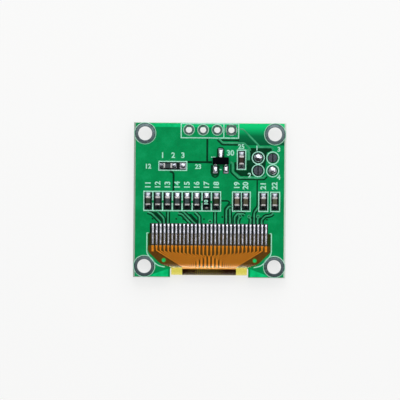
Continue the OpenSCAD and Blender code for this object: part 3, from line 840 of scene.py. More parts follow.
class MODULE_OT_stage(bpy.types.Operator):
    """Makes the camera, the floor, the soft lamp and the sky"""

    bl_idname = "display_module.stage"
    bl_label = "Stage"

    def execute(self, context):
        sizes = context.scene.module_sizes
        scene = context.scene
        scene.view_settings.view_transform = "Standard"
        self.make_camera(scene, sizes)
        self.make_floor(scene, context.scene.module_colours)
        self.make_lamp(scene)
        self.make_sky(scene)
        return {"FINISHED"}

    def make_camera(self, scene, sizes):
        """A long lens above the board, turned by about half a degree."""
        camera = bpy.data.cameras.new("camera")
        camera.sensor_width = 36
        camera.lens = camera.sensor_width * sizes.camera_distance / sizes.view_width
        camera.clip_start = 0.01
        camera.clip_end = 10
        holder = bpy.data.objects.new("camera", camera)
        x, y = CAMERA_ASIDE
        holder.location = (x * MM, y * MM, BOARD_TOP * MM + sizes.camera_distance)
        holder.rotation_euler = (0, 0, math.radians(CAMERA_TURN))
        scene.collection.objects.link(holder)
        scene.camera = holder

    def make_floor(self, scene, colours):
        """A pale painted floor. Whatever looks at it sees mostly its own glow, which lights
        nothing else."""
        material, tree = new_material("painted studio floor")
        place = add(tree, "ShaderNodeTexCoord").outputs["Object"]
        cloud = add(tree, "ShaderNodeTexNoise", {"Vector": place, "Scale": 8.0, "Detail": 2})
        light = (*colours.floor, 1.0)
        dark = (*(c * 0.98 for c in colours.floor), 1.0)
        tone = add(tree, "ShaderNodeValToRGB", {"Fac": cloud}, stops=[(0.3, dark), (0.7, light)])
        paint = add(tree, "ShaderNodeBsdfDiffuse", {"Color": tone})
        glow = add(tree, "ShaderNodeEmission", {"Color": WHITE, "Strength": 1.0})
        share = add(tree, "ShaderNodeMath", {0: seen_rays(tree), 1: 0.72}, operation="MULTIPLY")
        surface = add(tree, "ShaderNodeMixShader", {"Fac": share, 1: paint, 2: glow})
        add(tree, "ShaderNodeOutputMaterial", {"Surface": surface})
        bm = bmesh.new()
        bmesh.ops.create_grid(bm, x_segments=1, y_segments=1, size=FLOOR_HALF)
        bmesh.ops.translate(bm, vec=(0, 0, -FLOOR_DROP * MM), verts=bm.verts)
        mesh = bpy.data.meshes.new("floor")
        bm.to_mesh(mesh)
        bm.free()
        mesh.materials.append(material)
        floor = bpy.data.objects.new("floor", mesh)
        scene.collection.objects.link(floor)

    def make_lamp(self, scene):
        """A large soft box, and a small one that puts glints on metal and film."""
        for name, place, size, power in (
            ("soft box", (0.07, 0.25, 0.35), 0.5, 1.3),
            ("glint box", (0.0, 0.25, 0.4), 0.08, 0.2),
        ):
            lamp = bpy.data.lights.new(name, "AREA")
            lamp.shape = "SQUARE"
            lamp.size = size
            lamp.energy = power
            holder = bpy.data.objects.new(name, lamp)
            holder.location = place
            holder.rotation_euler = Vector(place).to_track_quat("Z", "Y").to_euler()
            scene.collection.objects.link(holder)

    def make_sky(self, scene):
        """A pale sky, greyer overhead and dimmer on the fold's side, that only metal, glass
        and the camera see. Everything else is lit by an even grey."""
        world = bpy.data.worlds.new("studio")
        world.use_nodes = True
        tree = world.node_tree
        tree.nodes.clear()
        direction = add(tree, "ShaderNodeTexCoord").outputs["Generated"]
        where = add(tree, "ShaderNodeSeparateXYZ", {"Vector": direction})
        across = add(
            tree,
            "ShaderNodeMapRange",
            {"Value": where.outputs["Y"], 1: -0.28, 2: 0.6, 3: 0.02, 4: 0.8},
            interpolation_type="SMOOTHSTEP",
        )
        raised = add(
            tree,
            "ShaderNodeMapRange",
            {"Value": where.outputs["Z"], 1: 0.05, 2: 0.17, 3: 0.0, 4: 1.0},
            interpolation_type="SMOOTHSTEP",
        )
        level = add(tree, "ShaderNodeMix", {0: raised, 2: 0.85, 3: across})
        sky = add(tree, "ShaderNodeCombineColor", {0: level, 1: level, 2: level})
        shown = add(tree, "ShaderNodeBackground", {"Color": sky, "Strength": 1.0})
        even = add(tree, "ShaderNodeBackground", {"Color": WHITE, "Strength": EVEN_LIGHT})
        surface = add(tree, "ShaderNodeMixShader", {"Fac": seen_rays(tree), 1: even, 2: shown})
        add(tree, "ShaderNodeOutputWorld", {"Surface": surface})
        scene.world = world


# The board and its copper


class MODULE_OT_board(bpy.types.Operator):
    """Dresses the bare board in solder mask and fibreglass"""

    bl_idname = "display_module.board"
    bl_label = "Board"

    def execute(self, context):
        dress("printed_circuit_board", solder_mask_board(context.scene.module_colours))
        return {"FINISHED"}


# Gaps etched in the copper pour: width, then paths
CHANNELS = [
    (0.35, [(-0.5, 11), (-0.5, 6.8)]),
    (0.4, [(-4, 6.8), (0.4, 6.8)]),
    (0.35, [(-7.2, 5.1), (-6.6, 4.9), (-6.5, 4.6), (-6.5, 1.6)]),
    (0.3, [(0.3, 6.3), (0.25, 4.9), (0.5, 4.3), (0.95, 4.1), (1.4, 4.3), (1.6, 4.9), (1.6, 6.2)]),
    (0.25, [(8.5, 3.7), (8.5, -1.0), (7.9, -1.7), (7.7, -4.2)]),
    (0.25, [(3.75, 6.5), (3.75, 5.0), (5.1, 3.75), (9.8, 3.75), (10.3, 4.3)]),
    (0.3, [(1.3, 10.8), (2.2, 9.95), (6.0, 9.95)]),
    (0.35, [(2.0, 10.75), (5.2, 10.75)]),
    (0.3, [(2.7, -4.2), (2.7, -1.5), (3.3, -0.8), (3.6, -0.4), (3.3, -0.1), (2.1, -0.1)]),
]

# Tracks under the mask, which stand out lighter
TRACKS = [
    [(1.5, 11.1), (2.35, 10.25), (6.15, 10.25), (7.2, 9.2), (7.2, 8.9)],
    [(5.2, 12.75), (5.9, 12.75), (8.75, 9.85), (8.75, 9.4)],
    [(8.85, 9.55), (11.0, 9.55), (11.3, 9.2)],
    [(3.7, 6.85), (4.1, 6.6), (4.1, 5.1), (5.3, 4.05), (9.6, 4.05), (10.0, 4.5)],
]
BROAD_TRACKS = [[(6.7, 9.2), (7.0, 8.5), (6.9, 7.2)]]

# Tracks that run from the tail's pads to the chips, each with a dark gap on both sides
FAN_TRACKS = [
    [(-11.1, -2.2), (-10.3, -2.5), (-8.8, -4.0), (-8.75, -4.3)],
    [(-9.3, -2.2), (-8.3, -3.2), (-8.15, -3.6), (-8.15, -4.3)],
    [(-7.45, -2.1), (-7.45, -4.3)],
    [(-5.6, -2.4), (-4.9, -2.6), (-3.6, -4.0)],
    [(-4.6, -2.2), (-3.2, -3.6), (-2.6, -4.2)],
    [(-2.6, -2.2), (-1.8, -3.0), (-1.8, -4.3)],
    [(1.0, -2.1), (1.0, -4.3)],
    [(3.0, -4.3), (3.0, -1.7), (3.5, -1.1), (4.1, -1.1)],
    [(3.7, -4.3), (3.65, -1.5)],
    [(4.5, -4.3), (4.5, -3.0), (5.0, -2.4), (6.0, -2.4), (6.3, -2.6)],
    [(5.15, -4.3), (5.15, -3.6), (5.45, -2.9)],
    [(7.3, -4.3), (7.4, -3.4), (7.1, -2.9)],
    [(8.0, -4.3), (8.0, -2.2), (8.6, -1.4)],
    [(8.65, -4.3), (8.6, -3.5), (8.8, -2.9)],
    [(9.35, -4.3), (9.35, -3.5), (10.0, -2.8), (11.0, -2.65), (11.4, -2.3)],
]

# Bare of copper: the islands round the jumpers and the regulator's pads
DARK_ISLANDS = [
    [
        (4.35, 6.85), (4.9, 6.85), (4.9, 5.4), (6.6, 5.4), (6.6, 7.0), (6.75, 9.0), (7.3, 9.4), (10.9, 9.4),
        (11.2, 9.0), (10.2, 8.6), (10.0, 6.5), (9.9, 4.9), (9.5, 4.35), (5.5, 4.35), (4.4, 5.2),
    ],
    [(1.2, 7.6), (2.6, 7.6), (2.6, 9.1), (2.3, 9.5), (1.5, 9.5), (1.2, 9.1)],
    [(2.3, 4.85), (2.55, 4.7), (3.2, 4.7), (3.45, 4.9), (3.45, 6.2), (2.3, 6.2)],
    [(0.4, 4.85), (0.65, 4.4), (1.25, 4.4), (1.5, 4.85), (1.5, 6.2), (0.4, 6.2)],
    [(-3.9, -2.5), (-3.3, -2.5), (-2.2, -3.6), (-2.1, -4.2), (-2.35, -4.2)],
    [(-10.1, -2.2), (-9.5, -2.2), (-8.5, -3.3), (-8.4, -3.9)],
]


def shoulder(side):
    """The tail's rounded shoulder on one side, from its edge down to its bottom."""
    corner = [(0, 3.6), (0, 2.7), (2.3, 0.45), (3.7, 0)]
    points = round_corners(corner, 0.9, steps=6)
    return [(side * (TAIL_HALF - p.x), SHOULDER_Y + p.y) for p in points]


def locating_place(side):
    """The middle of the tail's locating hole on one side."""
    return (side * (TAIL_HALF - LOCATING_INSET), SHOULDER_Y + LOCATING_RISE)


VIA_R = 0.17
VIA_RING_RADII = (VIA_R, 0.2, 0.3, 0.34)
VIA_RINGS = [(0.1, -3.8), (5.5, -2.8), (7.1, -2.9), (8.7, -2.9)]
VIA_DOTS = [(x, -3.4) for x in (-10.2, -5.95, -4.7, -1.0)]
VIA_DOTS += [(2.3, -3.0), (3.8, -3.1), (10.3, -3.4)]

# Where chips and the tail are soldered, the mask stands back and the laminate is dark
CHIP_WINDOW_HALF = 0.72
ROW_WINDOW_Y = (-1.78, 1.34)
# The two chips outside the row have windows of their own
SINGLE_CHIPS = {"capacitor_8": (5.0, 5.65, 6.3, 8.88), "address_resistor": (-9.05, 5.4, -4.25, 6.78)}
TAIL_WINDOW = (-10.7, COVER_Y, 10.5, -4.2)
JUMPER_WINDOW_R = 0.92

# Patches stand for what is under the mask. They start a little under the board's face, and
# each kind is thicker than the kinds that it covers
PATCH_Z = BOARD_TOP - 0.002
ISLAND_T = 0.0045
MARGIN_T = 0.0055
WINDOW_T = 0.0065
GAP_T = 0.004
FAN_GAP_T = 0.003
VIA_T = 0.006

# Widths of the tracks, and of the gap that a track to the chips lies in
TRACK_LINE_W = 0.3
BROAD_LINE_W = 0.5
FAN_LINE_W = 0.28
FAN_GAP_W = FAN_LINE_W + 0.5

# The mask's rims: inner foot, crown and outer foot, and the height of each
MOUNT_SHADOW_RADII = (1.74, 1.76, 1.84, 1.86)
MOUNT_SHADOW_T = 0.008
MOUNT_RIM_RADII = (1.84, 1.87, 1.93, 1.98)
MOUNT_RIM_T = 0.035
HEADER_RIM_RADII = (0.9, 0.93, 0.99, 1.03)
HEADER_RIM_T = 0.03


class MODULE_OT_copper(bpy.types.Operator):
    """Lays the tracks, etched gaps, islands, margins, vias and mask rims over the board"""

    bl_idname = "display_module.copper"
    bl_label = "Copper under the mask"

    def execute(self, context):
        sizes = context.scene.module_sizes
        dark = mask_over("solder mask over bare laminate", "#003019", "#003E23")
        self.gaps(dark)
        pale = mask_over("solder mask over tracks", "#2C9062", "#3EA676")
        self.tracks(pale, sizes.track_height)
        self.margins()
        self.windows()
        self.vias(dark)
        self.lips()
        return {"FINISHED"}

    def gaps(self, dark):
        """Gaps and bare islands in the copper, and a darker patch of mask under the tail."""
        bm = bmesh.new()
        for width, path in CHANNELS:
            add_lines(bm, [path], width, GAP_T, BOARD_TOP)
        for path in FAN_TRACKS:
            add_lines(bm, [path], FAN_GAP_W, FAN_GAP_T, BOARD_TOP)
        # The board under the tail is drawn as dark as the bare islands
        under_tail = [(-TAIL_HALF, TAIL_Y), *shoulder(-1), *reversed(shoulder(1)), (TAIL_HALF, TAIL_Y)]
        for outline in [*DARK_ISLANDS, under_tail]:
            add_patch(bm, outline, PATCH_Z, ISLAND_T)
        finish_piece(bm, "etched_gaps", dark)

    def tracks(self, pale, height):
        """Tracks that stand out under the mask, and the rings of some vias."""
        bm = bmesh.new()
        add_lines(bm, TRACKS, TRACK_LINE_W, height, BOARD_TOP)
        add_lines(bm, FAN_TRACKS, FAN_LINE_W, height, BOARD_TOP)
        add_lines(bm, BROAD_TRACKS, BROAD_LINE_W, height, BOARD_TOP)
        for place in VIA_RINGS:
            add_rim(bm, place, VIA_RING_RADII, height)
        finish_piece(bm, "board_tracks", pale)

    def margins(self):
        """Strips of mask painted brighter along the edges: along the top edge for a band of
        reflected light, and beside the notch where the copper stops short and light comes
        through. Also the board that shows through the tail's locating holes."""
        # Painted reflection along the top edge and painted light beside the notch
        bright = mask_over("bright solder mask", "#00B468", "#06CA7A")
        bm = bmesh.new()
        edge_x = BOARD_HIGH.x - 0.32
        edge_y = BOARD_HIGH.y - 0.14
        left = 0.9 - edge_x
        for outline in (
            [(-9.75, 13.05), (-5.3, 13.05), (-5.3, edge_y), (left, edge_y), (left, 13.55)],
            rectangle(-5.29, 13.05, 5.2, edge_y),
            [(-10.0, -13.3), (-7.35, -12.35), (-7.35, -edge_y), (-10.6, -edge_y)],
            [(10.0, -13.3), (10.6, -edge_y), (7.35, -edge_y), (7.35, -12.35)],
        ):
            add_patch(bm, outline, PATCH_Z, MARGIN_T)
        for side in (-1, 1):
            add_disc(bm, locating_place(side), LOCATING_R + 0.1, PATCH_Z, WINDOW_T)
        finish_piece(bm, "bright_margins", bright)

    def windows(self):
        """The mask's windows under the chips, the tail's pads and the jumpers."""
        black = mask_over("bare dark laminate", "#000A0A", "#001614", 0.3, 0.2)
        bm = bmesh.new()
        y0, y1 = ROW_WINDOW_Y
        row = [place.x for node, place in chip_places().items() if node not in SINGLE_CHIPS]
        boxes = [(x - CHIP_WINDOW_HALF, y0, x + CHIP_WINDOW_HALF, y1) for x in row]
        for box in [*boxes, *SINGLE_CHIPS.values(), TAIL_WINDOW]:
            add_patch(bm, rectangle(*box), PATCH_Z, WINDOW_T)
        for place in jumper_places():
            add_disc(bm, place, JUMPER_WINDOW_R, PATCH_Z, WINDOW_T, 40)
        finish_piece(bm, "bare_windows", black)

    def vias(self, dark):
        """The plugged holes that join the board's two sides."""
        bm = bmesh.new()
        for place in VIA_DOTS + VIA_RINGS:
            add_disc(bm, place, VIA_R, BOARD_TOP, VIA_T, 16)
        finish_piece(bm, "via_pits", dark)

    def lips(self):
        """The mask's rim round each plated hole, where it laps up to the metal. The rim is painted
        pale as a highlight, and the mounting holes have a painted shadow ring inside it.
        """
        # Painted highlight on the rims, and a painted shadow ring inside the mounting rims
        rim = mask_over("mask rim painted pale as a highlight", "#7FBFA4", "#B5DCCB", 0.3, 0.5)
        shade = mask_over("painted shadow ring in the mask rim", "#0C4A34", "#1D6B4E", 0.3, 0.3)
        bm = bmesh.new()
        shadow = bmesh.new()
        for place in hole_places("mounting_hole_plating"):
            add_rim(shadow, place, MOUNT_SHADOW_RADII, MOUNT_SHADOW_T, 64)
            add_rim(bm, place, MOUNT_RIM_RADII, MOUNT_RIM_T, 64)
        for place in hole_places("header_hole_plating"):
            add_rim(bm, place, HEADER_RIM_RADII, HEADER_RIM_T)
        finish_piece(bm, "mask_rims", rim)
        finish_piece(shadow, "mask_rim_shadows", shade)


def islands_of(node):
    """The boxes of a CAD node's separate solids, as (low, high) corners in millimetres."""
    bm = bmesh.new()
    bm.from_mesh(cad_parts[node].data)
    bm.transform(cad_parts[node].matrix_world)
    bmesh.ops.remove_doubles(bm, verts=bm.verts, dist=1e-7)
    left = set(bm.verts)
    found = []
    while left:
        group = {left.pop()}
        edge = list(group)
        while edge:
            v = edge.pop()
            for e in v.link_edges:
                other = e.other_vert(v)
                if other in left:
                    left.remove(other)
                    group.add(other)
                    edge.append(other)
        low = Vector([min(v.co[i] for v in group) for i in range(3)]) / MM
        high = Vector([max(v.co[i] for v in group) for i in range(3)]) / MM
        found.append((low, high))
    bm.free()
    return sorted(found, key=lambda pair: (round(pair[0].x, 2), round(pair[0].y, 2)))


def hole_places(node):
    """The middles of a node's plated holes."""
    return [((low.x + high.x) / 2, (low.y + high.y) / 2) for low, high in islands_of(node)]


def jumper_places():
    """Each jumper's middle, from the two halves of its split pad."""
    spots = []
    for place in hole_places("jumper_pads"):
        near = [spot for spot in spots if math.dist(spot[0], place) < 1.2]
        if near:
            near[0].append(place)
        else:
            spots.append([place])
    return [tuple(sum(half[k] for half in spot) / len(spot) for k in (0, 1)) for spot in spots]


# Every chip part's node
CHIPS = (
    [f"capacitor_{i}" for i in range(1, 9)]
    + [f"resistor_{i}" for i in range(1, 5)]
    + ["diode", "address_resistor"]
)


def chip_places():
    """The middle of each chip part, by its node."""
    places = {}
    for node in CHIPS:
        low, high = box_mm(node)
        places[node] = (low + high) / 2
    return places


def nearest_chip(place):
    """The node of the chip part that is nearest to a place."""
    return min(chip_places().items(), key=lambda item: (item[1] - place).xy.length)[0]


# Printed ink

# The boxes round the header holes, the address resistor, the groups of the row of chips,
# and the single capacitor
ROW_BOX_Y = (-1.95, 1.5)
ROW_BOXES_X = [(-11.8, 1.95), (4.1, 7.27), (8.8, 10.45), (10.95, 12.55)]
INK_BOXES = [
    rectangle(-5.2, 11.15, 5.1, 13.72),
    rectangle(-9.15, 5.3, -4.15, 6.88),
    *[rectangle(x0, ROW_BOX_Y[0], x1, ROW_BOX_Y[1]) for x0, x1 in ROW_BOXES_X],
    rectangle(4.9, 5.55, 6.4, 9.0),
]
INK_LINES = [
    [(2.45, 11.2), (2.45, 13.7)],
    [(5.68, -1.9), (5.68, 1.45)],
    [(0.2, 7.7), (1.0, 7.7)],
    [(1.72, 5.5), (2.08, 5.5)],
    [(-11.2, -5.95), (-11.2, -9.6), (-10.2, -10.9), (-9.2, -11.8), (-8.0, -12.05)],
    [(11.12, -5.95), (11.12, -9.6), (10.2, -10.9), (9.2, -11.8), (8.0, -12.05)],
    [(-11.2, -5.95), (-10.9, -5.95)],
    [(11.1, -5.95), (10.8, -5.95)],
]
ROW_DIVIDERS = (-10.2, -8.43, -6.68, -4.93, -3.1, -1.35, 0.3)
DIVIDER_GAP = (-0.55, -0.1)
JUMPER_RING_R = 1.08
NUMBERS_Y = 2.65

# Plain numbers beside the holes, boxes and pads: what they say, where, and how tall
UPRIGHT_NUMBERS = [
    ("1", (-8.5, 7.95), 0.95),
    ("2", (-6.6, 7.95), 0.95),
    ("3", (-4.85, 7.95), 0.95),
    ("12", (-11.1, 5.95), 0.8),
    ("23", (-2.1, 5.95), 0.8),
    ("30", (3.65, 8.45), 0.95),
    ("25", (5.6, 9.6), 0.8),
    ("1", (8.4, 9.35), 0.8),
    ("3", (12.35, 9.15), 0.8),
    ("2", (7.1, 4.45), 0.85),
    ("4", (12.35, 4.15), 0.85),
]


class MODULE_OT_print(bpy.types.Operator):
    """Prints the boxes, rings, outlines and plain numbers on the board"""

    bl_idname = "display_module.print"
    bl_label = "Printed ink"

    def execute(self, context):
        sizes = context.scene.module_sizes
        ink = printing_ink(context.scene.module_colours)
        height = sizes.ink_height
        bm = bmesh.new()
        for outline in INK_BOXES:
            add_loop(bm, outline, 0.2, height, BOARD_TOP)
        dividers = []
        for x in ROW_DIVIDERS:
            dividers.append([(x, -1.9), (x, DIVIDER_GAP[0])])
            dividers.append([(x, DIVIDER_GAP[1]), (x, 1.45)])
        add_lines(bm, dividers, 0.22, height, BOARD_TOP)
        add_lines(bm, INK_LINES, 0.18, height, BOARD_TOP, corner=0.5)
        ring = [JUMPER_RING_R + step for step in (-0.09, -0.05, 0.05, 0.09)]
        for place in jumper_places():
            add_rim(bm, place, ring, height)
        finish_piece(bm, "ink_lines", ink, smooth_below=60)
        self.numbers(ink, height)
        return {"FINISHED"}

    def numbers(self, ink, height):
        """Plain numbers where the board has labels, and a count along the row of chips."""
        bm = bmesh.new()
        places = chip_places()
        for text, centre, cap in UPRIGHT_NUMBERS:
            add_number(bm, text, centre, cap, 0, BOARD_TOP, height)
        row = sorted((place.x for node, place in places.items() if node not in SINGLE_CHIPS))
        for i, x in enumerate(row):
            add_number(bm, str(11 + i), (x, NUMBERS_Y), 0.95, 90, BOARD_TOP, height)
        finish_piece(bm, "ink_numbers", ink, smooth_below=20)


# Metal on the board

# How much of their copper's width the lands under the chips show
LAND_SHARE = 0.82
# The lower ends of the chips' metal are painted dark, for shade and the dark that they mirror
SHADED_BELOW_Y = -0.9


class MODULE_OT_pads(bpy.types.Operator):
    """Dresses the pads and the plated holes in tin"""

    bl_idname = "display_module.pads"
    bl_label = "Pads and plating"

    def execute(self, context):
        # The mounting rings' tin is darker and greyer than the pads' tin
        rings = tinned_copper("darker tin on the mounting rings", "#5C6C70", "#7E8E92", 0.9, 0.2, 0.4)
        dull = tinned_copper("dull tin on the header rings", "#3E544E", "#667E76", 0.4, 0.3, 0.55)
        pads = tinned_copper("hot-levelled tin", "#9A9CA4", "#C9CAD2", 0.25, 0.25, 0.5)
        # Painted shade on the lower ends of the chips' lands
        shaded = (SHADED_BELOW_Y, "#1E2A2E")
        lands = tinned_copper(
            "hot-levelled tin under chips", "#7E828A", "#B4B8C0", 0.25, 0.25, 0.5, painted_shade=shaded
        )
        # Painted reflection: the open jumpers' tin is coloured dark for the dark that it mirrors
        dark_mirroring_tin = tinned_copper("open jumper tin painted dark for its reflection", "#42474E", "#5E646C", 0.18, 0.35, 0.6)
        dress("mounting_hole_plating", rings)
        self.ring_faces(rings)
        dress("header_hole_plating", dull)
        self.chip_lands(lands)
        dress("tail_pads", pads)
        dress("address_pad", pads)
        dress("jumper_pads", dark_mirroring_tin)
        return {"FINISHED"}

    def ring_faces(self, tin):
        """The levelled tin on the mounting rings is thickest at the holes and thins outwards."""
        bm = bmesh.new()
        low = PAD_TOP - 0.005
        profile = [(1.28, low), (1.32, PAD_TOP + 0.02), (1.7, PAD_TOP + 0.008), (1.72, low)]
        for place in hole_places("mounting_hole_plating"):
            add_ring(bm, place, profile, 64)
        finish_piece(bm, "mounting_ring_faces", tin, smooth_below=20)

    def chip_lands(self, tin):
        """The lands under the chips and the regulator. The mask's window leaves a dark line
        on both sides of each, so they are narrower than their copper."""
        bm = bmesh.new()
        for low, high in islands_of("chip_pads"):
            mid = (low + high) / 2
            size = high - low
            node = nearest_chip(mid)
            if abs((mid - chip_places()[node]).x) > 0.5 and size.y < 1.2:
                size.y *= LAND_SHARE
            else:
                size.x *= LAND_SHARE
            add_land(bm, mid, size)
        finish_piece(bm, "chip_lands", tin, ["chip_pads"])


# Solder is smooth where its faces meet below this angle, in degrees
SOLDER_EDGE = 75


def bright_solder():
    """Tin-lead solder, melted and set: a bright, slightly lavender metal with soft lumps
    and a frosted grain where it cooled last."""
    return tinned_copper("set tin solder", "#BCBECA", "#E4E4EC", 0.35, 0.16, 0.3)


class MODULE_OT_solder(bpy.types.Operator):
    """Runs solder on the tail's fingers, the chips, the regulator and the closed jumpers"""

    bl_idname = "display_module.solder"
    bl_label = "Solder"

    def execute(self, context):
        sizes = context.scene.module_sizes
        solder = bright_solder()
        drawn = tinned_copper("drawn tin solder on the fingers", "#B4B6C2", "#E2E2EA", 0.5, 0.2, 0.32, 0.12)
        self.tail(drawn, sizes.solder_height)
        # Painted shade on the lower ends of the chips' solder
        shaded = (SHADED_BELOW_Y, "#2A363A")
        slopes = tinned_copper(
            "set tin solder on chips", "#9094A0", "#C2C6D0", 0.3, 0.2, 0.34, 0.25, shaded
        )
        self.chips(slopes)
        self.regulator(solder)
        self.jumpers(solder)
        self.address_pad(solder)
        return {"FINISHED"}

    def tail(self, solder, crown):
        """Each finger's bead lies on the bare copper, drops over the film's end and runs
        out along the pad."""
        bm = bmesh.new()
        start = COVER_Y + 0.02
        end = TAIL_PADS_END - 0.1
        step = TAIL_Y - start

        def floor_at(y):
            ramp = min(1.0, max(0.0, (y - step) / 1.6))
            return FINGER_Z + (PAD_TOP - FINGER_Z) * ramp

        def height_at(y):
            heap = math.exp(-(((y - step - 0.1) / 0.22) ** 2))
            tip = math.exp(-(((y - (end - start) + 0.35) / 0.25) ** 2))
            return crown * (0.8 + 0.2 * heap + 0.1 * tip) + 0.07 * max(0.0, 1 - y / step)

        for i in range(FINGERS):
            x = (i - (FINGERS - 1) / 2) * FINGER_PITCH
            add_bead(bm, (x, start), 0, FINGER_W, end - start, height_at, floor_at, i + 1, 6, 30)
        finish_piece(bm, "tail_solder_beads", solder, ["tail_solder"], SOLDER_EDGE)

    def chips(self, solder):
        """A hollow slope of solder at each end of each chip."""
        bm = bmesh.new()
        for i, (low, high) in enumerate(islands_of("chip_solder")):
            mid = (low + high) / 2
            away = mid - chip_places()[nearest_chip(mid)]
            size = high - low
            if abs(away.x) > abs(away.y):
                turn = -math.pi / 2 if away.x > 0 else math.pi / 2
                run, width = size.x, size.y
                place = (low.x if away.x > 0 else high.x, mid.y)
            else:
                turn = 0 if away.y > 0 else math.pi
                run, width = size.y, size.x
                place = (mid.x, low.y if away.y > 0 else high.y)

            def height_at(y, rise=size.z, run=run):
                return rise * (1 - y / run) ** 1.15 + 0.05

            add_bead(bm, place, turn, width * 1.12, run, height_at, lambda y: PAD_TOP, i + 40, lumps=0.06)
        finish_piece(bm, "chip_solder_slopes", solder, ["chip_solder"], SOLDER_EDGE)

    def regulator(self, solder):
        """A bead over each of the regulator's feet: the upper one falls away from the body,
        and the two lower ones rise away from it."""
        bm = bmesh.new()
        low, high = box_mm("regulator")
        middle_y = (low.y + high.y) / 2
        lap = 0.3
        for i, (low, high) in enumerate(islands_of("regulator_solder")):
            up = low.y > middle_y
            run = high.y - low.y + lap

            def height_at(y, rise=high.z - low.z, run=run, up=up):
                if up:
                    return rise * (1.25 - 0.85 * (y / run) ** 1.3)
                return rise * (0.55 + 0.75 * math.sin(min(1.0, y / run / 0.85) * math.pi / 2) ** 2)

            place = ((low.x + high.x) / 2, low.y - lap if up else high.y + lap)
            turn = 0 if up else math.pi
            add_bead(bm, place, turn, high.x - low.x, run, height_at, lambda y: PAD_TOP, i + 90, 8, 14)
        finish_piece(bm, "regulator_solder_beads", solder, ["regulator_solder"], SOLDER_EDGE)

    def jumpers(self, solder):
        """A dome that closes each of two split pads."""
        bm = bmesh.new()
        for i, (low, high) in enumerate(islands_of("jumper_solder")):
            radius = (high.x - low.x) / 2
            add_dome(bm, (low + high) / 2, (radius, radius), low.z, high.z - low.z, i)
        finish_piece(bm, "jumper_solder_domes", solder, ["jumper_solder"], SOLDER_EDGE)

    def address_pad(self, solder):
        """The open end of the address choice keeps a low blob."""
        bm = bmesh.new()
        low, high = box_mm("address_pad")
        size = high - low
        add_dome(bm, (low + high) / 2, (size.x * 0.42, size.y * 0.4), PAD_TOP - 0.01, 0.2, 5)
        finish_piece(bm, "address_pad_blob", solder, smooth_below=SOLDER_EDGE)


# Parts on the board

CAPACITOR_SHADES = [
    ("#263426", "#384836"),
    ("#2A2C2E", "#3C4044"),
    ("#242C18", "#343C26"),
    ("#524838", "#6C624E"),
    ("#484534", "#5E5A44"),
    ("#3A3A32", "#505046"),
    ("#4A4C38", "#60644C"),
    ("#2C221C", "#40322A"),
]


class MODULE_OT_chips(bpy.types.Operator):
    """Dresses the capacitors, the resistors, the diode and their metal ends"""

    bl_idname = "display_module.chips"
    bl_label = "Chip parts"

    def execute(self, context):
        ends = tinned_copper("matte tin on chip ends", "#B4B0B0", "#DEDADA", 0.12, 0.3, 0.5)
        for i, (low, high) in enumerate(CAPACITOR_SHADES):
            node = f"capacitor_{i + 1}"
            dress(node, fired_ceramic(f"fired ceramic {i + 1}", low, high))
            dress(node + "_ends", ends)
        resistors = [f"resistor_{i}" for i in range(1, 5)] + ["address_resistor"]
        glazed = resistor_ceramic(box_mm("resistor_1")[1].z)
        for node in resistors:
            dress(node, glazed)
            dress(node + "_ends", ends)
        dress("diode", moulded_epoxy())
        dress("diode_ends", ends)
        self.diode_mark(context)
        return {"FINISHED"}

    def diode_mark(self, context):
        """A plain number on the diode, a little off its middle."""
        low, high = box_mm("diode")
        centre = ((low.x + high.x) / 2 - 0.06, (low.y + high.y) / 2 - 0.02)
        ink = printing_ink(context.scene.module_colours)
        ink.name = "white marking ink"
        bm = bmesh.new()
        add_number(bm, "10", centre, 0.66, 90, high.z, 0.006)
        finish_piece(bm, "diode_number", ink, smooth_below=20)


class MODULE_OT_regulator(bpy.types.Operator):
    """Dresses the regulator's moulded body and its leads"""

    bl_idname = "display_module.regulator"
    bl_label = "Regulator"

    def execute(self, context):
        dress("regulator", moulded_epoxy())
        dress("regulator_leads", tinned_copper("tinned lead frame", "#B9B9BE", "#DEDEE2", 0.2, 0.2, 0.4))
        return {"FINISHED"}


# The folded tail


def arc_points(centre, radius, start, end, steps):
    """Points on an arc, from one angle to another in degrees."""
    out = []
    for k in range(steps + 1):
        a = math.radians(start + (end - start) * k / steps)
        out.append((centre[0] + radius * math.cos(a), centre[1] + radius * math.sin(a)))
    return out


def tail_sheet(name, material, lift, thickness, top_y, end_y, stands_for):
    """A layer of the tail: its outline with the locating holes, filled, then carried round
    the fold, and given its thickness last."""
    bm = bmesh.new()
    z = FILM_Z + lift
    fillet = SHOULDER_Y - FOLD_Y
    outline = [(-TAIL_HALF, top_y), *shoulder(-1)]
    outline += arc_points((-NECK_HALF - fillet, FOLD_Y), fillet, 90, 0, 6)
    outline += arc_points((NECK_HALF + fillet, FOLD_Y), fillet, 180, 90, 6)
    outline += [*reversed(shoulder(1)), (TAIL_HALF, top_y)]
    verts = [bm.verts.new((x, y, z)) for x, y in outline]
    edges = [bm.edges.new((verts[i - 1], verts[i])) for i in range(len(verts))]
    for side in (-1, 1):
        place = Matrix.Translation((*locating_place(side), z))
        hole = bmesh.ops.create_circle(bm, cap_ends=False, segments=28, radius=LOCATING_R, matrix=place)
        edges += list({e for v in hole["verts"] for e in v.link_edges})
    bmesh.ops.triangle_fill(bm, use_beauty=True, use_dissolve=False, edges=edges)
    neck = [e for e in bm.edges if all(abs(v.co.y - FOLD_Y) < 1e-5 for v in e.verts)]
    fold_edge(bm, neck[0], FOLD_R + lift, end_y)
    bmesh.ops.remove_doubles(bm, verts=bm.verts, dist=MERGE)
    thicken(bm, thickness)
    finish_piece(bm, name, material, stands_for, 30)


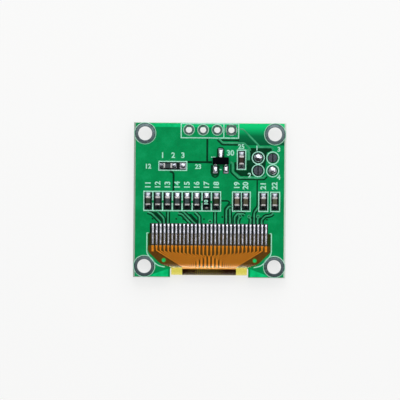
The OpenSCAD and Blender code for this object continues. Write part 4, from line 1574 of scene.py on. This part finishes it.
def thicken(bm, thickness):
    """Springs the layer up a little where it comes to the fold, as a tail that was bent by
    hand does, turns its faces out from the fold and gives them a thickness outwards."""
    for k in range(16):
        bmesh.ops.bisect_plane(
            bm,
            geom=bm.verts[:] + bm.edges[:] + bm.faces[:],
            plane_co=(0, FOLD_Y + 0.12 * k + 0.06, 0),
            plane_no=(0, 1, 0),
        )
    for v in bm.verts:
        height = (v.co.z - FOLD_Z) / FOLD_R
        if height > 0:
            v.co.z += SPRING * height * math.exp(-(((v.co.y - SPRING_Y) / SPRING_REACH) ** 2))
    bmesh.ops.recalc_face_normals(bm, faces=bm.faces)
    bm.faces.ensure_lookup_table()
    top = max(bm.faces, key=lambda f: f.calc_center_median().z * abs(f.normal.z))
    if top.normal.z < 0:
        bmesh.ops.reverse_faces(bm, faces=bm.faces)
    bmesh.ops.solidify(bm, geom=bm.faces[:], thickness=-thickness)


class MODULE_OT_tail(bpy.types.Operator):
    """Folds the tail's film, tracks and cover film round the board's edge"""

    bl_idname = "display_module.tail"
    bl_label = "Folded tail"

    def execute(self, context):
        base = polyimide("amber base film", BASE_FILM_TINT, "#956C27", 0.03, 1.6)
        cover = polyimide("amber cover film", COVER_FILM_TINT, "#ED7C27", 0.055, 2.2)
        gap = 0.001
        cover_lift = FILM_T + COPPER_T + GLUE_T
        tail_sheet("amber_film", base, 0, FILM_T, TAIL_Y, FILM_END_Y, ["tail_film"])
        tail_sheet("amber_cover", cover, cover_lift, COVER_T, COVER_Y, COVER_END_Y, ["tail_cover"])
        self.tracks(etched_copper(), FILM_T + gap)
        return {"FINISHED"}

    def tracks(self, copper, lift):
        """One track from each finger: straight, then slanting in to the neck, and broader
        round the bend. The first and the last end under the cover film."""
        bm = bmesh.new()
        z = FILM_Z + lift
        middle = (FINGERS - 1) / 2
        for i in range(FINGERS):
            finger_x = (i - middle) * FINGER_PITCH
            neck_x = bend_x = (i - middle) * NECK_PITCH
            if i in PAIRED:
                neck_x += PAIR_SHIFT if i % 2 == 0 else -PAIR_SHIFT
            knee = COVER_Y - 0.85 - 0.9 * (1 - abs(i - middle) / (middle - 1))
            if i in (0, FINGERS - 1):
                path = [(finger_x, TAIL_Y), (finger_x, COVER_Y - 1.05)]
                widths = [FINGER_W, FINGER_W]
            else:
                turn = knee - 0.61 * abs(finger_x - neck_x)
                path = [
                    (finger_x, TAIL_Y),
                    (finger_x, COVER_Y - 0.1),
                    (finger_x, COVER_Y - 0.3),
                    (finger_x, knee),
                    (neck_x, turn),
                    (neck_x, FOLD_Y + 0.25),
                    (bend_x, FOLD_Y),
                ]
                widths = [FINGER_W, FINGER_W, FINGER_W * 0.75, TRACK_W, TRACK_W, TRACK_W, BEND_TRACK_W]
            edge = self.strip(bm, ribbon_offsets(path, widths), z)
            if i not in (0, FINGERS - 1):
                fold_edge(bm, edge, FOLD_R + lift, FILM_END_Y)
        bmesh.ops.remove_doubles(bm, verts=bm.verts, dist=MERGE)
        thicken(bm, COPPER_T - 0.002)
        finish_piece(bm, "copper_tracks", copper, ["tail_tracks"], 30)

    def strip(self, bm, pairs, z):
        """Draws an edge out through pairs of side points, and returns the last edge."""
        first = [bm.verts.new((*side, z)) for side in pairs[0]]
        edge = bm.edges.new(first)
        for pair in pairs[1:]:
            grown = bmesh.ops.extrude_edge_only(bm, edges=[edge])["geom"]
            fresh = set(verts_in(grown))
            ends = {e.other_vert(v): v for v in fresh for e in v.link_edges if e.other_vert(v) not in fresh}
            for start, side in zip(first, pair):
                ends[start].co.xy = side
            first = [ends[start] for start in first]
            edge = next(e for e in edges_in(grown) if set(e.verts) == fresh)
        return edge


# The display panel

# Each layer's stock: its name, its two shades, its grain in millimetres, its roughness and,
# where it isn't the usual one, its specular level
PANEL_STOCK = (
    ("polariser", "polariser film", "#101114", "#181A1E", 1.0, 0.25),
    ("oled_layers", "thin light-giving layers", "#12161E", "#1C2230", 1.5, 0.2),
    ("sealing_glue", "cured sealing glue", "#B6B08A", "#CCC7A4", 0.5, 0.4),
    ("bonding_film", "bonding film", "#A09A80", "#BDB79A", 0.4, 0.4),
    ("drying_sheet", "pressed drying sheet", "#D5D5D0", "#E6E6E2", 0.3, 0.85, 0.2),
    ("mounting_tape", "foam mounting tape", "#D2D1CA", "#E4E3DC", 0.15, 0.9, 0.2),
    ("driver_chip", "polished silicon", "#3A3D46", "#474B55", 2.0, 0.12, 0.8),
    ("ledge_resin", "cured black-blue resin", "#18222A", "#233039", 0.8, 0.25),
)


class MODULE_OT_panel(bpy.types.Operator):
    """Dresses the display panel, its tape and what lies on its ledge"""

    bl_idname = "display_module.panel"
    bl_label = "Display panel"

    def execute(self, context):
        glass = float_glass()
        dress("front_glass", glass)
        dress("rear_glass", glass)
        for node, *stock in PANEL_STOCK:
            dress(node, plain_stock(*stock))
        return {"FINISHED"}


STEPS = (
    MODULE_OT_stage,
    MODULE_OT_board,
    MODULE_OT_copper,
    MODULE_OT_print,
    MODULE_OT_pads,
    MODULE_OT_solder,
    MODULE_OT_chips,
    MODULE_OT_regulator,
    MODULE_OT_tail,
    MODULE_OT_panel,
)


class MODULE_PT_sidebar(bpy.types.Panel):
    """Lists the sizes, the colours and the steps"""

    bl_label = "Display Module"
    bl_idname = "MODULE_PT_sidebar"
    bl_space_type = "VIEW_3D"
    bl_region_type = "UI"
    bl_category = "Display Module"

    def draw(self, context):
        layout = self.layout
        for group in (context.scene.module_sizes, context.scene.module_colours):
            column = layout.column()
            for name in group.__annotations__:
                column.prop(group, name)
        column = layout.column(align=True)
        for step in STEPS:
            column.operator(step.bl_idname)


CLASSES = (ModuleSizes, ModuleColours, *STEPS, MODULE_PT_sidebar)


def register():
    """Makes the classes and the settings known to Blender."""
    for cls in CLASSES:
        bpy.utils.register_class(cls)
    bpy.types.Scene.module_sizes = bpy.props.PointerProperty(type=ModuleSizes)
    bpy.types.Scene.module_colours = bpy.props.PointerProperty(type=ModuleColours)


def unregister():
    """Takes the settings and the classes away again."""
    del bpy.types.Scene.module_colours
    del bpy.types.Scene.module_sizes
    for cls in reversed(CLASSES):
        bpy.utils.unregister_class(cls)


def main():
    """Runs every step in order."""
    register()
    for step in STEPS:
        group, name = step.bl_idname.split(".")
        getattr(getattr(bpy.ops, group), name)()


if __name__ == "__main__":
    main()
